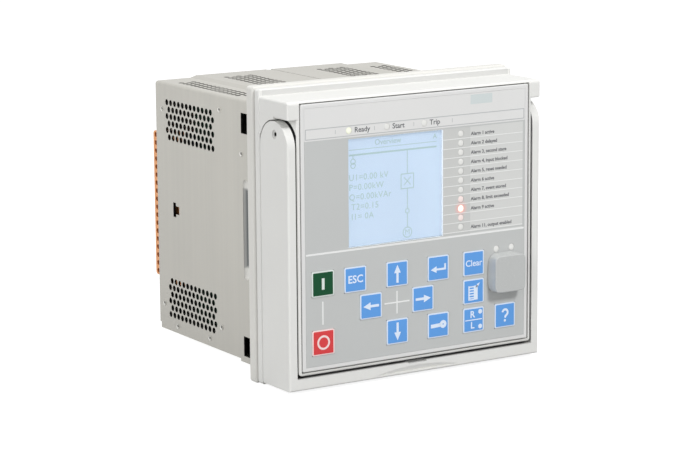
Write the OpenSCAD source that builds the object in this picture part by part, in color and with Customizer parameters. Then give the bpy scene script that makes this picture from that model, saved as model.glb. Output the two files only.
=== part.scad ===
// Flush-mounted protection relay with a withdrawable unit.
// X runs to the right seen from the front, Y to the back, Z up.
// The origin is the centre of the flange's rear face, the plane of the switchgear panel.

/* [Flange] */
// Width of the mounting flange
flange_w = 178; // [172:0.5:190]
// Height of the mounting flange
flange_h = 174; // [172:0.5:186]
// Thickness of the mounting flange
flange_t = 6.5; // [5:0.5:9]
// Corner radius of the flange and the housing base
flange_corner_r = 2; // [2:0.5:8]
// Radius of the flange's front edges
flange_edge_r = 1.8; // [0.5:0.1:3]
// Thickness of the rubber seal in front of the flange
seal_t = 1.1; // [0.6:0.1:2]
// Width of the rubber seal
seal_w = 5; // [3:0.5:7]

/* [Case] */
// Outside width of the sheet-metal case
case_w = 163; // [162:0.5:168]
// Height of the case's top edge above the origin
case_rise = 76; // [75:0.5:80]
// Depth of the case's bottom edge below the origin
case_drop = 79; // [78:0.5:82]
// Length of the case behind the flange
case_d = 125; // [120:1:150]
// Sheet thickness
sheet_t = 1.2; // [0.8:0.1:1.5]
// Width of the upright folds that join the sheets
fold_w = 6; // [5:0.5:7]
// Width of the folds under the top sheets
top_fold_w = 34; // [32:0.5:35]
// Outside radius of the bends along the top
bend_r = 2; // [1.6:0.1:4]
// Diameter of a vent hole
vent_d = 3.7; // [2:0.1:4]
// Distance between vent holes in a row
vent_pitch = 4.95; // [4.6:0.05:5.4]
// Distance between rows of vent holes
vent_row = 4.28; // [4.1:0.02:4.6]
// Vent holes in a row
vent_cols = 12; // [8:1:12]
// Rows in a vent field
vent_rows = 6; // [3:1:6]
// Distance of a vent field from the rear edge
vent_inset = 12.3; // [9:0.1:20]
// Height of the bracket slots
bracket_slot_h = 12; // [8:0.5:14]
// Width of the bracket slots
bracket_slot_w = 7.8; // [5:0.1:10]
// Distance of the bracket slots from the flange
bracket_slot_inset = 12.4; // [9:0.1:18]

/* [Front housing] */
// Distance of the operator panel in front of the origin
face_reach = 42.8; // [40:0.2:48]
// Thickness of the housing base
base_t = 4.4; // [3:0.2:6]
// Distance that the base stands out past the head and the handle
base_lip = 0.5; // [0.2:0.1:1]
// Height of the head's top above the origin
head_rise = 82; // [80:0.2:84]
// Height of the head's side lugs above the handle
head_h = 10.7; // [9:0.1:14]
// Width of the housing's rim beside the bezel
rim_w = 2.5; // [1.6:0.1:4]
// Height of the housing's rim below the bezel
rim_h = 2.2; // [1:0.1:3]
// Height of the head's strip above the bezel
brow_h = 2; // [1.4:0.1:4]
// Wall of the housing core
core_wall = 4; // [3.2:0.1:6]
// Radius of the rim's front edges
housing_edge_r = 1.4; // [0.5:0.1:2]
// Radius of the head's top front edge
head_edge_r = 2.2; // [1:0.1:2.6]
// Radius of the head's other front edges
lug_edge_r = 0.8; // [0.3:0.1:1.5]

/* [Operator panel] */
// Width of the bezel
bezel_w = 158.2; // [157:0.2:160]
// Height of the bezel
bezel_h = 154.5; // [153:0.1:156]
// Thickness of the bezel
bezel_t = 3.5; // [3:0.1:4]
// Width of the bezel's pale border around the foil
bezel_border = 2.5; // [2:0.1:4]
// Gap between the bezel and the housing
bezel_gap = 0.7; // [0.3:0.1:1]
// Thickness of the printed foil
foil_t = 0.5; // [0.3:0.1:0.8]
// Width of the display window
window_w = 65.2; // [60:0.2:66]
// Height of the display window
window_h = 62.9; // [58:0.1:63]
// Side of a square key
key_size = 14.4; // [12:0.2:15]
// Height of a key above the foil
key_proud = 0.4; // [0.2:0.1:1]
// Travel of a key
key_travel = 0.5; // [0.3:0.1:0.6]
// Diameter of an indicator lens
lens_d = 3.8; // [3:0.1:4.4]
// Spacing of the alarm indicators
alarm_pitch = 5.55; // [5:0.05:5.6]
// Width of the port cover
cover_w = 21; // [20:0.5:22]
// Height of the port cover
cover_h = 22; // [20:0.5:22]
// Distance that the port cover stands out
cover_reach = 7.5; // [6:0.5:12]

/* [Handle] */
// Thickness of the handle's arms
arm_t = 5.2; // [4:0.1:6]
// Gap between the handle's arms and the housing
arm_gap = 0.9; // [0.3:0.1:1.2]
// Thickness of the handle's lower bar
bar_t = 6.8; // [5:0.1:8]
// Radius of the lower bar's bottom edges
bar_edge_r = 1.2; // [0.4:0.1:2]
// Gap between the handle's lower bar and the housing
bar_gap = 1.6; // [1.1:0.1:2.5]
// Gap between the handle's round ends and the head
arm_end_gap = 1.55; // [1.5:0.05:2.5]
// Radius of the handle's outer edges
handle_edge_r = 1.2; // [0.4:0.1:2]
// Radius of the pivot pins
pin_r = 2.5; // [2:0.1:3]
// Distance of the pivot below the head's lugs
pivot_drop = 9; // [8.6:0.1:10]
// Half width of the finger scoop in the lower bar
scoop_half_w = 30; // [20:1:40]
// Depth of the finger scoop
scoop_depth = 1.4; // [0.5:0.1:1.5]

/* [Withdrawable unit] */
// Gap between the sliding chassis and the case's folds
chassis_side_gap = 1.5; // [0.8:0.1:4]
// Height of the guide rails under the case's top
top_rail_h = 3.5; // [3:0.1:8]
// Room between the chassis and the outside of the case's back
rear_room = 20.9; // [18:0.1:26]
// Thickness of the circuit boards
board_t = 1.6; // [1:0.1:2.4]
// Width of the guide rails in the case
rail_w = 8; // [5:0.5:12]

/* [Rear terminals] */
// Poles of a pluggable connector
plug_poles = 18; // [12:1:20]
// Spacing of the poles
pole_pitch = 5.08; // [5:0.02:5.2]
// Width of a pluggable connector
plug_w = 12; // [10:0.5:13]
// Length of a pluggable connector along Y
plug_d = 14; // [12:0.5:18]
// Distance of the left connector's middle from the centre
plug_left_x = 69.5; // [68:0.5:70]
// Distance between the two connectors
plug_spacing = 26.5; // [22:0.5:30]
// Width of the analogue terminal block
block_w = 40; // [36:1:44]
// Height of the analogue terminal block
block_h = 116; // [112:1:120]
// Distance that the terminal block stands out of the case
block_reach = 15; // [8:0.5:20]
// Width of the communication module's plate
comm_w = 32; // [28:1:34]
// Height of the communication module's plate
comm_h = 112; // [90:1:120]

/* [Clearances] */
// Gap between pieces that slide past each other
slide_gap = 0.3; // [0.2:0.05:0.35]
// Radial gap of the handle on its pins
pivot_gap = 0.08; // [0.03:0.01:0.1]
// Gap around pieces that are fitted into a recess
fit_gap = 0.1; // [0.05:0.05:0.2]

/* [Hidden] */
$fn = 48;

// Colours
white_plastic = [0.87, 0.87, 0.86];
pale_plastic = [0.84, 0.85, 0.85];
foil_grey = [0.76, 0.77, 0.77];
zinc_sheet = [0.76, 0.75, 0.73];
dark_rubber = [0.12, 0.12, 0.12];
board_green = [0.07, 0.28, 0.2];
plug_orange = [0.94, 0.55, 0.25];
key_blue = [0.36, 0.62, 0.92];
key_green = [0.12, 0.32, 0.2];
key_red = [0.86, 0.27, 0.29];

// Small margin by which a cutting shape passes a face
over = 1;

// Planes along Y, from the front to the back
face_y = -face_reach;
bezel_back = face_y + bezel_t;
seal_front = -flange_t - seal_t;
base_back = seal_front - slide_gap;
base_front = base_back - base_t;
handle_set_back = 0.2;
handle_back_gap = 0.4;
arm_front = face_y + handle_set_back;
arm_back = base_front - handle_back_gap;
chassis_front = base_back;
chassis_back = case_d - rear_room;

// Case, let into a rebate in the flange's rear face
case_front = -1;
case_x = case_w / 2;
case_in_x = case_x - sheet_t;
case_floor = -case_drop + sheet_t;
case_roof = case_rise - sheet_t;
case_back = case_d - sheet_t;
fold_back = case_front + sheet_t;
chassis_w = case_w - 2 * (fold_w + chassis_side_gap);
chassis_h = 2 * (case_roof - top_rail_h - slide_gap);
opening_w = chassis_w + 2 * chassis_side_gap;
opening_h = chassis_h + 2 * chassis_side_gap;
rivet_r = 1.5;
rivet_h = 0.45;
slot_roof_inset = 7.6;
slot_floor_inset = 2.2;
slot_upper_z = case_rise - slot_roof_inset - bracket_slot_h / 2;
slot_lower_z = -case_drop + slot_floor_inset + bracket_slot_h / 2;
vent_roof_inset = 11.8;
vent_floor_inset = 10.6;
vent_field_w = (vent_cols - 0.5) * vent_pitch + vent_d;
vent_field_h = (vent_rows - 1) * vent_row;
upper_vent_z = case_rise - vent_roof_inset - vent_field_h / 2;
lower_vent_z = -case_drop + vent_floor_inset + vent_field_h / 2;
vent_y = case_d - vent_inset - vent_field_w / 2;
side_tab_y = 10;
side_tab_l = 14;
side_tab_h = 1.6;
side_slot_y = 15.6;
side_slot_r = 3.3;
side_slot_low = -27;
side_slot_high = 26;
corner_cut_l = 1.6;
corner_cut_h = 3.6;
locator_y = case_d - 23.5;
locator_w = 3.6;
locator_h = 9;
locator_step_w = 4.1;
locator_step_h = 5;
locator_z = -1.5;

// Top of the case
seam_x = 1;
seam_gap = 0.6;
seam_notch_w = 3.8;
seam_notch_l = 3;
top_fold_x = case_x - top_fold_w;
top_edge_x = top_fold_x + 5.5;
top_ramp_w = 4;
top_vent_cols = 15;
top_vent_rows = 5;
top_vent_x = 33.5;
strip_vent_rows = 3;
strip_vent_x = case_x - 12;
top_vent_y = case_d - 55;
floor_upturn = 8;
floor_upturn_y = 30;
rear_margin = 0.3;

// Screws that hold the flange to the case folds
flange_screw_x = case_in_x - (fold_w - sheet_t) / 2;
flange_screw_z = 50;
flange_screw_head_r = (fold_w - sheet_t) / 2 - 2 * fit_gap;
flange_screw_r = flange_screw_head_r * 0.6;
flange_screw_head_h = 1.4;
flange_screw_l = 5;

// Front housing
bezel_top = head_rise - brow_h;
bezel_z = bezel_top - bezel_h / 2;
core_x = bezel_w / 2 + rim_w;
core_drop = bezel_h - bezel_top + rim_h;
head_floor = head_rise - head_h;
cavity_x = core_x - core_wall;
cavity_floor = -core_drop + core_wall;
cavity_roof = bezel_top - core_wall;
chassis_ledge = 7;
base_opening_w = chassis_w - 2 * chassis_ledge;
base_opening_h = chassis_h - 2 * chassis_ledge;
base_top_inset = 1;
base_floor_lip = 1.5;
boss_r = 3;
boss_inset = 5;
boss_x = cavity_x - boss_inset;
boss_z = [cavity_floor + boss_inset, cavity_roof - boss_inset];
base_edge_r = 1;
core_corner_r = 3;
head_corner_r = 1.5;
bezel_corner_r = 1.5;
bezel_edge_r = 0.7;

// Operator panel stack behind the bezel
foil_w = bezel_w - 2 * bezel_border;
foil_h = bezel_h - 2 * bezel_border;
key_corner_r = 0.8;
key_rim_t = 0.9;
key_rim_w = 0.8;
key_back = bezel_back + slide_gap / 2 + key_rim_t;
dome_top = key_back + key_travel + slide_gap;
dome_h = 1.2;
dome_r = 4;
mat_t = 1.5;
board_front = dome_top + dome_h + mat_t;
board_back = board_front + board_t;
mat_top_z = bezel_z - 13.75;
mat_floor_z = cavity_floor + 2;
window_x = -14.8;
window_z = bezel_z + 23.5;
window_t = 1.5;
window_set_back = 0.2;
lcd_w = window_w + 6.8;
lcd_h = window_h + 3;
lcd_front = bezel_back + fit_gap;
lens_r = lens_d / 2;
status_z = bezel_z + 59.95;
status_x = [-46.9, -21.1, 4.7];
port_lens_z = bezel_z - 20.05;
port_lens_x = [56.2, 67.2];
alarm_x = 30.5;
alarm_top_z = bezel_z + 51.45;
alarm_count = 11;
lens_proud = 0.1;

// Keys: name order follows the columns from left to right
row_top = bezel_z - 26.75;
row_mid = bezel_z - 43.75;
row_low = bezel_z - 61.05;
key_close_at = [-65.3, row_top];
key_open_at = [-65.3, row_low];
key_escape_at = [-43.4, row_top];
key_left_at = [-32.8, row_mid];
key_up_at = [-14.6, row_top];
key_down_at = [-14.6, row_low];
key_right_at = [3.4, row_mid];
key_enter_at = [14.2, row_top];
key_lock_at = [14.2, row_low];
key_clear_at = [39.5, row_top];
key_menu_at = [39.5, row_mid];
key_mode_at = [39.5, row_low];
key_help_at = [62.4, row_low];
key_places = [key_close_at, key_open_at, key_escape_at, key_left_at, key_up_at,
    key_down_at, key_right_at, key_enter_at, key_lock_at, key_clear_at,
    key_menu_at, key_mode_at, key_help_at];
key_hole = key_size + 2 * slide_gap;

// Front port
port_x = 61.6;
port_z = bezel_z - 34.35;
jack_w = 16.4;
jack_h = 14;
jack_l = 16;
jack_mouth_w = 11.8;
jack_mouth_h = 8.4;
jack_mouth_l = 13;
jack_front = bezel_back - 1.5;
port_hole_w = jack_w + 0.6;
port_hole_h = jack_h + 0.6;
spigot_w = port_hole_w - 2 * slide_gap;
spigot_h = port_hole_h - 2 * slide_gap;

// Handle
arm_x = core_x + arm_gap;
head_x = arm_x + arm_t;
arm_round_r = (arm_back - arm_front) / 2;
arm_mid_y = (arm_back + arm_front) / 2;
arm_top = head_floor - arm_end_gap;
arm_round_z = arm_top - arm_round_r;
bar_top = -core_drop - bar_gap;
handle_drop = -bar_top + bar_t;
pivot_shift = 1.05;
pivot_y = arm_mid_y - pivot_shift;
pivot_z = head_floor - pivot_drop;
wrap_gap = 0.8;
wrap_floor = pivot_z - 1.3;
pin_recess = 0.6;
pin_socket_r = 1.3;
pin_socket_l = 2.5;
pin_head_r = 4;
pin_head_t = 1.3;
scoop_r = (scoop_half_w * scoop_half_w + scoop_depth * scoop_depth) / (2 * scoop_depth);
scoop_h = 3;
scoop_lip = 1.5;
scoop_tilt = atan(scoop_depth / scoop_h);
notch_w = 13;
notch_h = 0.7;
notch_d = 4;

// Withdrawable unit
tray_z = chassis_h / 2;
board_z = tray_z - sheet_t;
board_set_back = 2.5;
board_y = chassis_front + sheet_t + board_set_back;
board_overhang = 8;
tray_back = chassis_back - board_overhang;
chassis_screw_x = chassis_w / 2 - 3;
chassis_screw_z = chassis_h / 2 - 4.2;
chassis_screw_r = 1.4;
chassis_screw_head_r = 2.5;
chassis_screw_head_h = 1.5;
chassis_screw_l = base_t - 0.8;
cable_slot_w = 60;
cable_slot_h = 24;
power_x = -plug_left_x;
io_x = power_x + plug_spacing;
analogue_x = 6;
processor_x = 60;
rail_x = 55;
rail_inset = 6;
board_plug_l = 12;
board_plug_w = 8;
board_plug_h = 90;
socket_front = chassis_back + slide_gap;

// Rear terminals
plug_h = plug_poles * pole_pitch;
plug_z = -2.8;
plug_front = case_d + 1.5;
plug_back = plug_front + plug_d;
plug_screw_r = 1.4;
plug_screw_y = plug_back - 3;
plug_screw_l = 4;
plug_screw_inset = 1;
plug_corner_r = 2.2;
plug_wire_w = 3.4;
plug_wire_l = 6;
socket_wall = 1.2;
socket_rim = case_d + 6;
socket_w = plug_w + 2 * (slide_gap + socket_wall);
socket_h = plug_h + 2 * (slide_gap + socket_wall);
rear_fold_w = min(fold_w, case_x - plug_left_x - socket_w / 2 - fit_gap);
block_x = analogue_x;
block_front = case_d - 7;
block_back = case_d + block_reach;
block_pitch = 15;
block_rows = 7;
block_column = block_w / 2;
block_groove = 3;
block_groove_inset = 4;
comm_x = 58;
comm_z = 2;
comm_jack_z = [comm_z + 28, comm_z + 2];
comm_screw_z = comm_h / 2 - 5;
comm_jack_l = 18;
comm_jack_back = case_d + sheet_t + 1.5;
rear_screw_r = 2.6;
rear_screw_h = 1.6;
rear_screw_slot = 0.8;
earth_x = 30;
earth_z = -68;
earth_r = 2.5;
earth_head_r = 4.5;
earth_head_h = 3.2;
earth_shank_l = 4;
earth_slot = 1.2;
washer_r = 6;
washer_t = 1.2;

// Draws a flat shape in X and Z, from y0 to y1
module plate_y(y0, y1) {
    translate([0, y1, 0]) rotate([90, 0, 0]) linear_extrude(y1 - y0) children();
}

// Draws a flat shape in Y and Z, from x0 to x1
module plate_x(x0, x1) {
    translate([x0, 0, 0]) rotate([90, 0, 90]) linear_extrude(x1 - x0) children();
}

// Draws a flat shape in X and Y, from z0 to z1
module plate_z(z0, z1) {
    translate([0, 0, z0]) linear_extrude(z1 - z0) children();
}

// Box between two corners
module box(low, high) {
    translate(low) cube(high - low);
}

// Rectangle with round corners, given by its low and high corners
module round_rect(low, high, r) {
    size = high - low;
    translate(low + [r, 0]) square([size[0] - 2 * r, size[1]]);
    translate(low + [0, r]) square([size[0], size[1] - 2 * r]);
    for (x = [low[0] + r, high[0] - r], y = [low[1] + r, high[1] - r])
        translate([x, y]) circle(r);
}

// Rectangle whose two corners on the low first axis are round
module soft_front(low, high, r) {
    translate(low + [r, 0]) square(high - low - [r, 0]);
    translate(low + [0, r]) square([2 * r, high[1] - low[1] - 2 * r]);
    for (y = [low[1] + r, high[1] - r]) translate([low[0] + r, y]) circle(r);
}

// Block with round corners seen from the front and soft front edges
module soft_block(low, high, corner_r, edge_r) {
    intersection() {
        plate_y(low[1], high[1])
            round_rect([low[0], low[2]], [high[0], high[2]], corner_r);
        plate_x(low[0], high[0])
            soft_front([low[1], low[2]], [high[1], high[2]], edge_r);
        plate_z(low[2], high[2]) rotate(90) mirror([0, 1])
            soft_front([low[1], low[0]], [high[1], high[0]], edge_r);
    }
}

// Cylinder along Y from y0 to y1
module rod_y(x, z, y0, y1, r) {
    translate([x, y1, z]) rotate([90, 0, 0]) cylinder(h = y1 - y0, r = r);
}

// Cylinder along X from x0 to x1
module rod_x(y, z, x0, x1, r) {
    translate([x0, y, z]) rotate([0, 90, 0]) cylinder(h = x1 - x0, r = r);
}

// Mirrors its children to both sides of the middle plane
module both_sides() {
    children();
    mirror([1, 0, 0]) children();
}

// Staggered field of vent holes about the origin of a flat shape
module vent_field(cols, rows, first_shift) {
    first = [(cols - 0.5) * vent_pitch / 2, (rows - 1) * vent_row / 2];
    for (row = [0 : rows - 1], col = [0 : cols - 1]) {
        shift = (row + first_shift) % 2 * vent_pitch / 2;
        translate(first - [col * vent_pitch + shift, row * vent_row]) circle(vent_d / 2, $fn = 24);
    }
}

// Fixed case

module mounting_flange() color(white_plastic) {
    difference() {
        soft_block([-flange_w / 2, -flange_t, -flange_h / 2], [flange_w / 2, 0, flange_h / 2],
            flange_corner_r, flange_edge_r);
        plate_y(-flange_t - over, over) square([opening_w, opening_h], center = true);
        box([-case_x - fit_gap, case_front, -case_drop - fit_gap],
            [case_x + fit_gap, over, case_rise + sheet_t + fit_gap]);
        for (x = [-1, 1], z = [-1, 1])
            rod_y(x * flange_screw_x, z * flange_screw_z, -flange_screw_l, over, flange_screw_r + fit_gap);
    }
}

module front_seal() color(dark_rubber) {
    inner_w = opening_w + 6;
    inner_h = opening_h + 6;
    plate_y(seal_front, -flange_t) difference() {
        square([inner_w + 2 * seal_w, inner_h + 2 * seal_w], center = true);
        square([inner_w, inner_h], center = true);
    }
}

module side_cutouts() {
    translate([vent_y, upper_vent_z]) vent_field(vent_cols, vent_rows, 0);
    translate([vent_y, lower_vent_z]) vent_field(vent_cols, vent_rows, 1);
    for (z = [slot_upper_z, slot_lower_z])
        translate([bracket_slot_inset, z - bracket_slot_h / 2])
            square([bracket_slot_w, bracket_slot_h]);
    // stepped locating hole in the middle of the side
    translate([locator_y, locator_z - locator_h / 2]) square([locator_w, locator_h]);
    translate([locator_y - locator_step_w, locator_z - locator_step_h / 2])
        square([locator_step_w + locator_w / 2, locator_step_h]);
    // long slot beside the flange
    translate([side_slot_y - side_slot_r, side_slot_low])
        square([2 * side_slot_r, side_slot_high - side_slot_low]);
    for (z = [side_slot_low, side_slot_high]) translate([side_slot_y, z]) circle(side_slot_r);
    // notch in the lower rear corner
    translate([case_d - corner_cut_l, -case_drop - over])
        square([corner_cut_l + over, corner_cut_h + over]);
}

// Side wall and top fold of the left sheet, seen from the front
module left_sheet_profile() {
    translate([-case_x, -case_drop]) square([sheet_t, case_drop + case_rise - bend_r]);
    translate([-case_x + bend_r, case_roof]) square([top_fold_w - bend_r, sheet_t]);
    translate([-case_x + bend_r, case_rise - bend_r]) intersection() {
        difference() {
            circle(bend_r);
            circle(bend_r - sheet_t);
        }
        translate([-bend_r, 0]) square(bend_r);
    }
}

module left_sheet_shape() {
    difference() {
        union() {
            plate_y(case_front, case_d) left_sheet_profile();
            plate_x(-case_x, -case_in_x)
                translate([side_tab_y, -case_drop - side_tab_h]) square([side_tab_l, side_tab_h + over]);
            box([-case_x, case_front, -case_drop + fold_w],
                [-case_x + fold_w, fold_back, case_rise - fold_w]);
            box([-case_x, case_back - sheet_t, -case_drop + fold_w],
                [-case_x + rear_fold_w, case_back, case_rise - fold_w]);
        }
        plate_x(-case_x - over, -case_in_x + over / 2) side_cutouts();
        plate_z(case_roof - over, case_rise + over)
            translate([-strip_vent_x, top_vent_y]) rotate(90) vent_field(top_vent_cols, strip_vent_rows, 0);
        for (z = [-1, 1])
            rod_y(-flange_screw_x, z * flange_screw_z, case_front - over, fold_back + over,
                flange_screw_r + fit_gap);
    }
}

module case_left_sheet() color(zinc_sheet) left_sheet_shape();

module case_right_sheet() color(zinc_sheet) mirror([1, 0, 0]) left_sheet_shape();

// Raised sheet in the middle of the top with a ramp at its outer edge
module top_sheet_outline(inner_x) {
    polygon([[-top_edge_x - top_ramp_w, case_rise], [-top_edge_x, case_rise + sheet_t],
        [inner_x, case_rise + sheet_t], [inner_x, case_rise]]);
}

module case_top_left() color(zinc_sheet) {
    difference() {
        plate_y(case_front, case_d) top_sheet_outline(seam_x - seam_gap);
        plate_z(case_rise - over, case_rise + sheet_t + over) {
            translate([-top_vent_x, top_vent_y]) rotate(90) vent_field(top_vent_cols, top_vent_rows, 0);
            translate([seam_x - seam_notch_w, case_d - seam_notch_l])
                square([seam_notch_w + over, seam_notch_l + over]);
        }
    }
}

module case_top_right() color(zinc_sheet) {
    difference() {
        mirror([1, 0, 0]) plate_y(case_front, case_d) top_sheet_outline(-seam_x);
        plate_z(case_rise - over, case_rise + sheet_t + over)
            translate([top_vent_x, top_vent_y]) rotate(90) vent_field(top_vent_cols, top_vent_rows, 0);
    }
}

module case_bottom_sheet() color(zinc_sheet) {
    box([-case_in_x, case_front, -case_drop], [case_in_x, case_back, case_floor]);
    both_sides()
        box([-case_in_x, floor_upturn_y, case_floor],
            [-case_in_x + sheet_t, case_back - fold_w, case_floor + floor_upturn]);
}

module case_rear_sheet() color(zinc_sheet) {
    middle_x = top_fold_x - fit_gap;
    difference() {
        plate_y(case_back, case_d) {
            round_rect([-case_in_x, -case_drop], [case_in_x, case_roof], bend_r - sheet_t);
            translate([-middle_x, 0]) square([2 * middle_x, case_rise]);
        }
        plate_y(case_back - over, case_d + over) {
            for (x = [power_x, io_x])
                translate([x, plug_z])
                    square([socket_w + 2 * rear_margin, socket_h + 2 * rear_margin], center = true);
            translate([block_x, 0])
                square([block_w + 2 * rear_margin, block_h + 2 * rear_margin], center = true);
            for (z = comm_jack_z)
                translate([comm_x, z])
                    square([jack_w + 2 * rear_margin, jack_h + 2 * rear_margin], center = true);
            translate([earth_x, earth_z]) circle(earth_r + fit_gap);
        }
    }
}

module case_rivets() color(zinc_sheet) {
    places = [[case_d - 8, case_rise - 16.5], [45.5, case_rise - 8.8], [20.2, 44.2],
        [case_d - 6.5, -case_drop + 16.5], [case_d - 23.2, -case_drop + 4.5],
        [61.4, -case_drop + 4.9], [46.6, -case_drop + 14.4]];
    both_sides()
        for (p = places) rod_x(p[0], p[1], -case_x - rivet_h, -case_x, rivet_r);
}

module flange_screws() color("silver") {
    for (x = [-1, 1], z = [-1, 1]) {
        rod_y(x * flange_screw_x, z * flange_screw_z, -flange_screw_l + 0.5, fold_back, flange_screw_r);
        rod_y(x * flange_screw_x, z * flange_screw_z, fold_back, fold_back + flange_screw_head_h,
            flange_screw_head_r);
    }
}

module guide_rails() color(dark_rubber) {
    for (x = [-rail_x, rail_x]) {
        box([x - rail_w / 2, rail_inset, case_floor],
            [x + rail_w / 2, socket_front - rail_inset, -tray_z - slide_gap]);
        box([x - rail_w / 2, rail_inset, tray_z + slide_gap],
            [x + rail_w / 2, socket_front - rail_inset, case_roof]);
    }
}

module plug_sockets() color(plug_orange) {
    for (x = [power_x, io_x]) translate([x, 0, plug_z]) difference() {
        box([-socket_w / 2, socket_front, -socket_h / 2], [socket_w / 2, socket_rim, socket_h / 2]);
        box([-plug_w / 2 - slide_gap, plug_front - slide_gap, -plug_h / 2 - slide_gap],
            [plug_w / 2 + slide_gap, socket_rim + over, plug_h / 2 + slide_gap]);
    }
}

module analogue_block() color(dark_rubber) {
    difference() {
        box([block_x - block_w / 2, block_front, -block_h / 2],
            [block_x + block_w / 2, block_back, block_h / 2]);
        // grooves between the terminals
        for (i = [0 : block_rows]) translate([block_x, 0, (i - block_rows / 2) * block_pitch])
            box([-block_w / 2 - over, case_d + block_groove_inset, -block_groove / 2],
                [block_w / 2 + over, block_back + over, block_groove / 2]);
    }
}

// Slotted pan head with its rear face at the given plane
module slotted_head(x, z, y0) {
    difference() {
        rod_y(x, z, y0, y0 + rear_screw_h, rear_screw_r);
        box([x - rear_screw_r - over, y0 + rear_screw_h - rear_screw_slot, z - rear_screw_slot / 2],
            [x + rear_screw_r + over, y0 + rear_screw_h + over, z + rear_screw_slot / 2]);
    }
}

module rear_screws() color("silver") {
    for (row = [0 : block_rows - 1], side = [-0.5, 0.5])
        slotted_head(block_x + side * block_column, (row - (block_rows - 1) / 2) * block_pitch, block_back);
    for (z = [-1, 1])
        slotted_head(comm_x, comm_z + z * comm_screw_z, case_d + sheet_t);
}

module comm_plate() color("lightgrey") {
    difference() {
        plate_y(case_d, case_d + sheet_t)
            translate([comm_x, comm_z])
                round_rect([-comm_w / 2, -comm_h / 2], [comm_w / 2, comm_h / 2], 2);
        for (z = comm_jack_z)
            plate_y(case_d - over, case_d + sheet_t + over)
                translate([comm_x, z]) square([jack_w + 2 * fit_gap, jack_h + 2 * fit_gap], center = true);
    }
}

// Modular jack with its mouth towards the front
module jack(front, length) {
    difference() {
        box([-jack_w / 2, front, -jack_h / 2], [jack_w / 2, front + length, jack_h / 2]);
        box([-jack_mouth_w / 2, front - over, -jack_mouth_h / 2],
            [jack_mouth_w / 2, front + jack_mouth_l, jack_mouth_h / 2]);
        box([-jack_mouth_w / 5, front - over, -jack_mouth_h / 2 - 1.8],
            [jack_mouth_w / 5, front + jack_mouth_l, 0]);
    }
}

module comm_jacks() color("silver") {
    for (z = comm_jack_z)
        translate([comm_x, comm_jack_back, z]) mirror([0, 1, 0]) jack(0, comm_jack_l);
}

module earth_screw() color("silver") {
    rod_y(earth_x, earth_z, case_d, case_d + washer_t, washer_r);
    rod_y(earth_x, earth_z, case_back - earth_shank_l, case_d, earth_r);
    head_front = case_d + washer_t;
    head_back = head_front + earth_head_h;
    difference() {
        rod_y(earth_x, earth_z, head_front, head_back, earth_head_r);
        box([earth_x - earth_head_r - over, head_back - earth_slot, earth_z - earth_slot / 2],
            [earth_x + earth_head_r + over, head_back + over, earth_z + earth_slot / 2]);
    }
}

// Withdrawable unit: front housing and operator panel

module housing_outside() {
    base_x = head_x + base_lip;
    base_rise = flange_h / 2 - base_top_inset;
    soft_block([-base_x, base_front, -handle_drop - base_floor_lip], [base_x, base_back, base_rise],
        flange_corner_r, base_edge_r);
    soft_block([-core_x, face_y, -core_drop], [core_x, base_front + over, head_rise - brow_h],
        core_corner_r, housing_edge_r);
    head_block([-head_x, face_y, head_floor], [head_x, base_front + over, head_rise]);
    both_sides() head_cheek();
}

// Head, rounder along its top front edge than along its other front edges
module head_block(low, high) {
    intersection() {
        soft_block(low, high, head_corner_r, lug_edge_r);
        plate_x(low[0], high[0]) {
            translate([low[1], low[2]]) square([high[1] - low[1], head_h - head_edge_r]);
            translate([low[1] + head_edge_r, low[2]]) square([high[1] - low[1] - head_edge_r, head_h]);
            translate([low[1] + head_edge_r, high[2] - head_edge_r]) circle(head_edge_r);
        }
    }
}

// Cheek of the head that follows the handle's round end on its rear side
module head_cheek() {
    plate_x(arm_x, head_x) difference() {
        translate([arm_mid_y, wrap_floor])
            square([base_front + over - arm_mid_y, head_floor + over - wrap_floor]);
        translate([arm_mid_y, arm_round_z]) circle(arm_round_r + wrap_gap, $fn = 96);
    }
    // web that joins the cheek to the core above the handle
    box([core_x - over, arm_mid_y, arm_top + wrap_gap], [head_x, base_front + over, head_floor + over]);
}

module front_housing() color(white_plastic) {
    difference() {
        housing_outside();
        box([-cavity_x, bezel_back - over, cavity_floor], [cavity_x, base_front, cavity_roof]);
        plate_y(base_front - over, base_back + over)
            square([base_opening_w, base_opening_h], center = true);
        plate_y(face_y - over, bezel_back)
            translate([0, bezel_z])
                square([bezel_w + 2 * bezel_gap, bezel_h + 2 * bezel_gap], center = true);
        rod_x(pivot_y, pivot_z, -core_x - over, core_x + over, pin_r + fit_gap / 2);
        for (x = [-1, 1], z = [-1, 1])
            rod_y(x * chassis_screw_x, z * chassis_screw_z, base_back - chassis_screw_l, base_back + over,
                chassis_screw_r + fit_gap / 2);
    }
    for (x = [-boss_x, boss_x], z = boss_z) rod_y(x, z, board_back, base_front + over, boss_r);
}

// Openings that the bezel and the foil share
module panel_openings(lens_hole_r) {
    translate([window_x, window_z]) square([window_w, window_h], center = true);
    for (p = key_places) translate(p) square(key_hole, center = true);
    translate([port_x, port_z]) square([port_hole_w, port_hole_h], center = true);
    for (x = status_x) translate([x, status_z]) circle(lens_hole_r);
    for (x = port_lens_x) translate([x, port_lens_z]) circle(lens_hole_r);
    for (i = [0 : alarm_count - 1])
        translate([alarm_x, alarm_top_z - i * alarm_pitch]) circle(lens_hole_r);
}

module bezel() color(pale_plastic) {
    difference() {
        soft_block([-bezel_w / 2, face_y, bezel_top - bezel_h], [bezel_w / 2, bezel_back, bezel_top],
            bezel_corner_r, bezel_edge_r);
        plate_y(face_y - over, face_y + foil_t)
            translate([0, bezel_z]) square([foil_w + 2 * fit_gap, foil_h + 2 * fit_gap], center = true);
        plate_y(face_y - over, bezel_back + over) panel_openings(lens_r + fit_gap);
    }
}

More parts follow.
